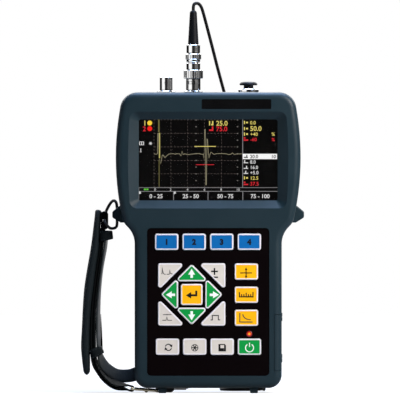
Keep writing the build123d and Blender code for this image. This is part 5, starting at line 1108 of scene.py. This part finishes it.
def studio_world():
    """White for the camera. Gloss sees the room round the object, the white backdrop straight
    behind it, a bright card high at the back and a pale blue ceiling. All other light comes
    evenly from everywhere."""
    world = bpy.data.worlds.new("studio")
    bpy.context.scene.world = world
    world.use_nodes = True
    node = partial(add_node, world.node_tree)
    smooth = {"interpolation_type": "SMOOTHSTEP"}
    place = node("TexCoord", output="Generated")
    x, y, z = [node("SeparateXYZ", [place], axis) for axis in "XYZ"]
    turn = node("Math ARCTAN2", [x, node("Math MULTIPLY", [y, -1.0])])
    ramp = node("ValToRGB", [node("Math MULTIPLY_ADD", [turn, 0.5 / math.pi, 0.5])])
    stops = ramp.node.color_ramp.elements
    stops[0].color, stops[1].color = FLAG, FLAG
    for degrees, level in ROOM:
        stops.new((degrees + 180) / 360).color = (level, level, level, 1)
    height = node("Math ABSOLUTE", [z])
    low_band = node("MapRange", [height, 0.06, 0.18, ROOM_LEVEL, 0.05], **smooth)
    walls = node("Math MULTIPLY", [ramp, low_band])
    backdrop = node("MapRange", [y, 0.9, 0.98, 0.0, BACKDROP_LEVEL], **smooth)
    behind = node("MapRange", [y, 0.3, 0.6], **smooth)
    high = node("MapRange", [z, 0.15, 0.4, 0.0, BACKLIGHT_LEVEL], **smooth)
    rear = node("Math MAXIMUM", [backdrop, node("Math MULTIPLY", [behind, high])])
    room = node("Math MAXIMUM", [walls, rear])
    overhead = node("MapRange", [z, 0.8, 0.92], **smooth)
    gloss = node("Mix", {0: overhead, 6: room, 7: colour(*CEILING)}, **BLEND)
    from_camera, mirrored, through = ray_kinds(node)
    plain = (PLAIN_LEVEL, PLAIN_LEVEL, PLAIN_LEVEL, 1)
    light = node("Mix", {0: mirrored, 6: plain, 7: gloss}, **BLEND)
    seen = node("Math MAXIMUM", [from_camera, through])
    shown = node("Mix", {0: seen, 6: light, 7: (1, 1, 1, 1)}, **BLEND)
    feed(world.node_tree.nodes["Background"], {"Color": shown})


def lamp(name, place, aim, size, power, tint):
    """A square soft lamp that faces a point."""
    light = bpy.data.lights.new(name, "AREA")
    light.size = size * MM
    light.energy = power
    light.color = colour(tint)[:3]
    made = in_scene(name, light)
    made.location = [c * MM for c in place]
    made.rotation_mode = "QUATERNION"
    way = mathutils.Vector([a - p for a, p in zip(aim, place)])
    made.rotation_quaternion = way.to_track_quat("-Z", "Y")


def camera():
    """A long lens straight ahead."""
    lens = bpy.data.cameras.new("camera")
    lens.sensor_width = SENSOR
    lens.lens = SENSOR * CAMERA_DISTANCE / VIEW_WIDTH
    lens.clip_start, lens.clip_end = 0.05, 50
    made = in_scene("camera", lens)
    made.location = (AIM_X * MM, (FRONT_Y - CAMERA_DISTANCE) * MM, AIM_Z * MM)
    made.rotation_euler = (math.pi / 2, 0, 0)
    bpy.context.scene.camera = made


studio_floor()
studio_world()
lamp("key", (560, -500, 540), (0, 0, 130), 380, 11.2, "#fff9f6")
lamp("top", (60, 60, 900), (0, 0, 180), 500, 14, "#b4d0ff")
camera()
bpy.context.scene.view_settings.view_transform = "Standard"
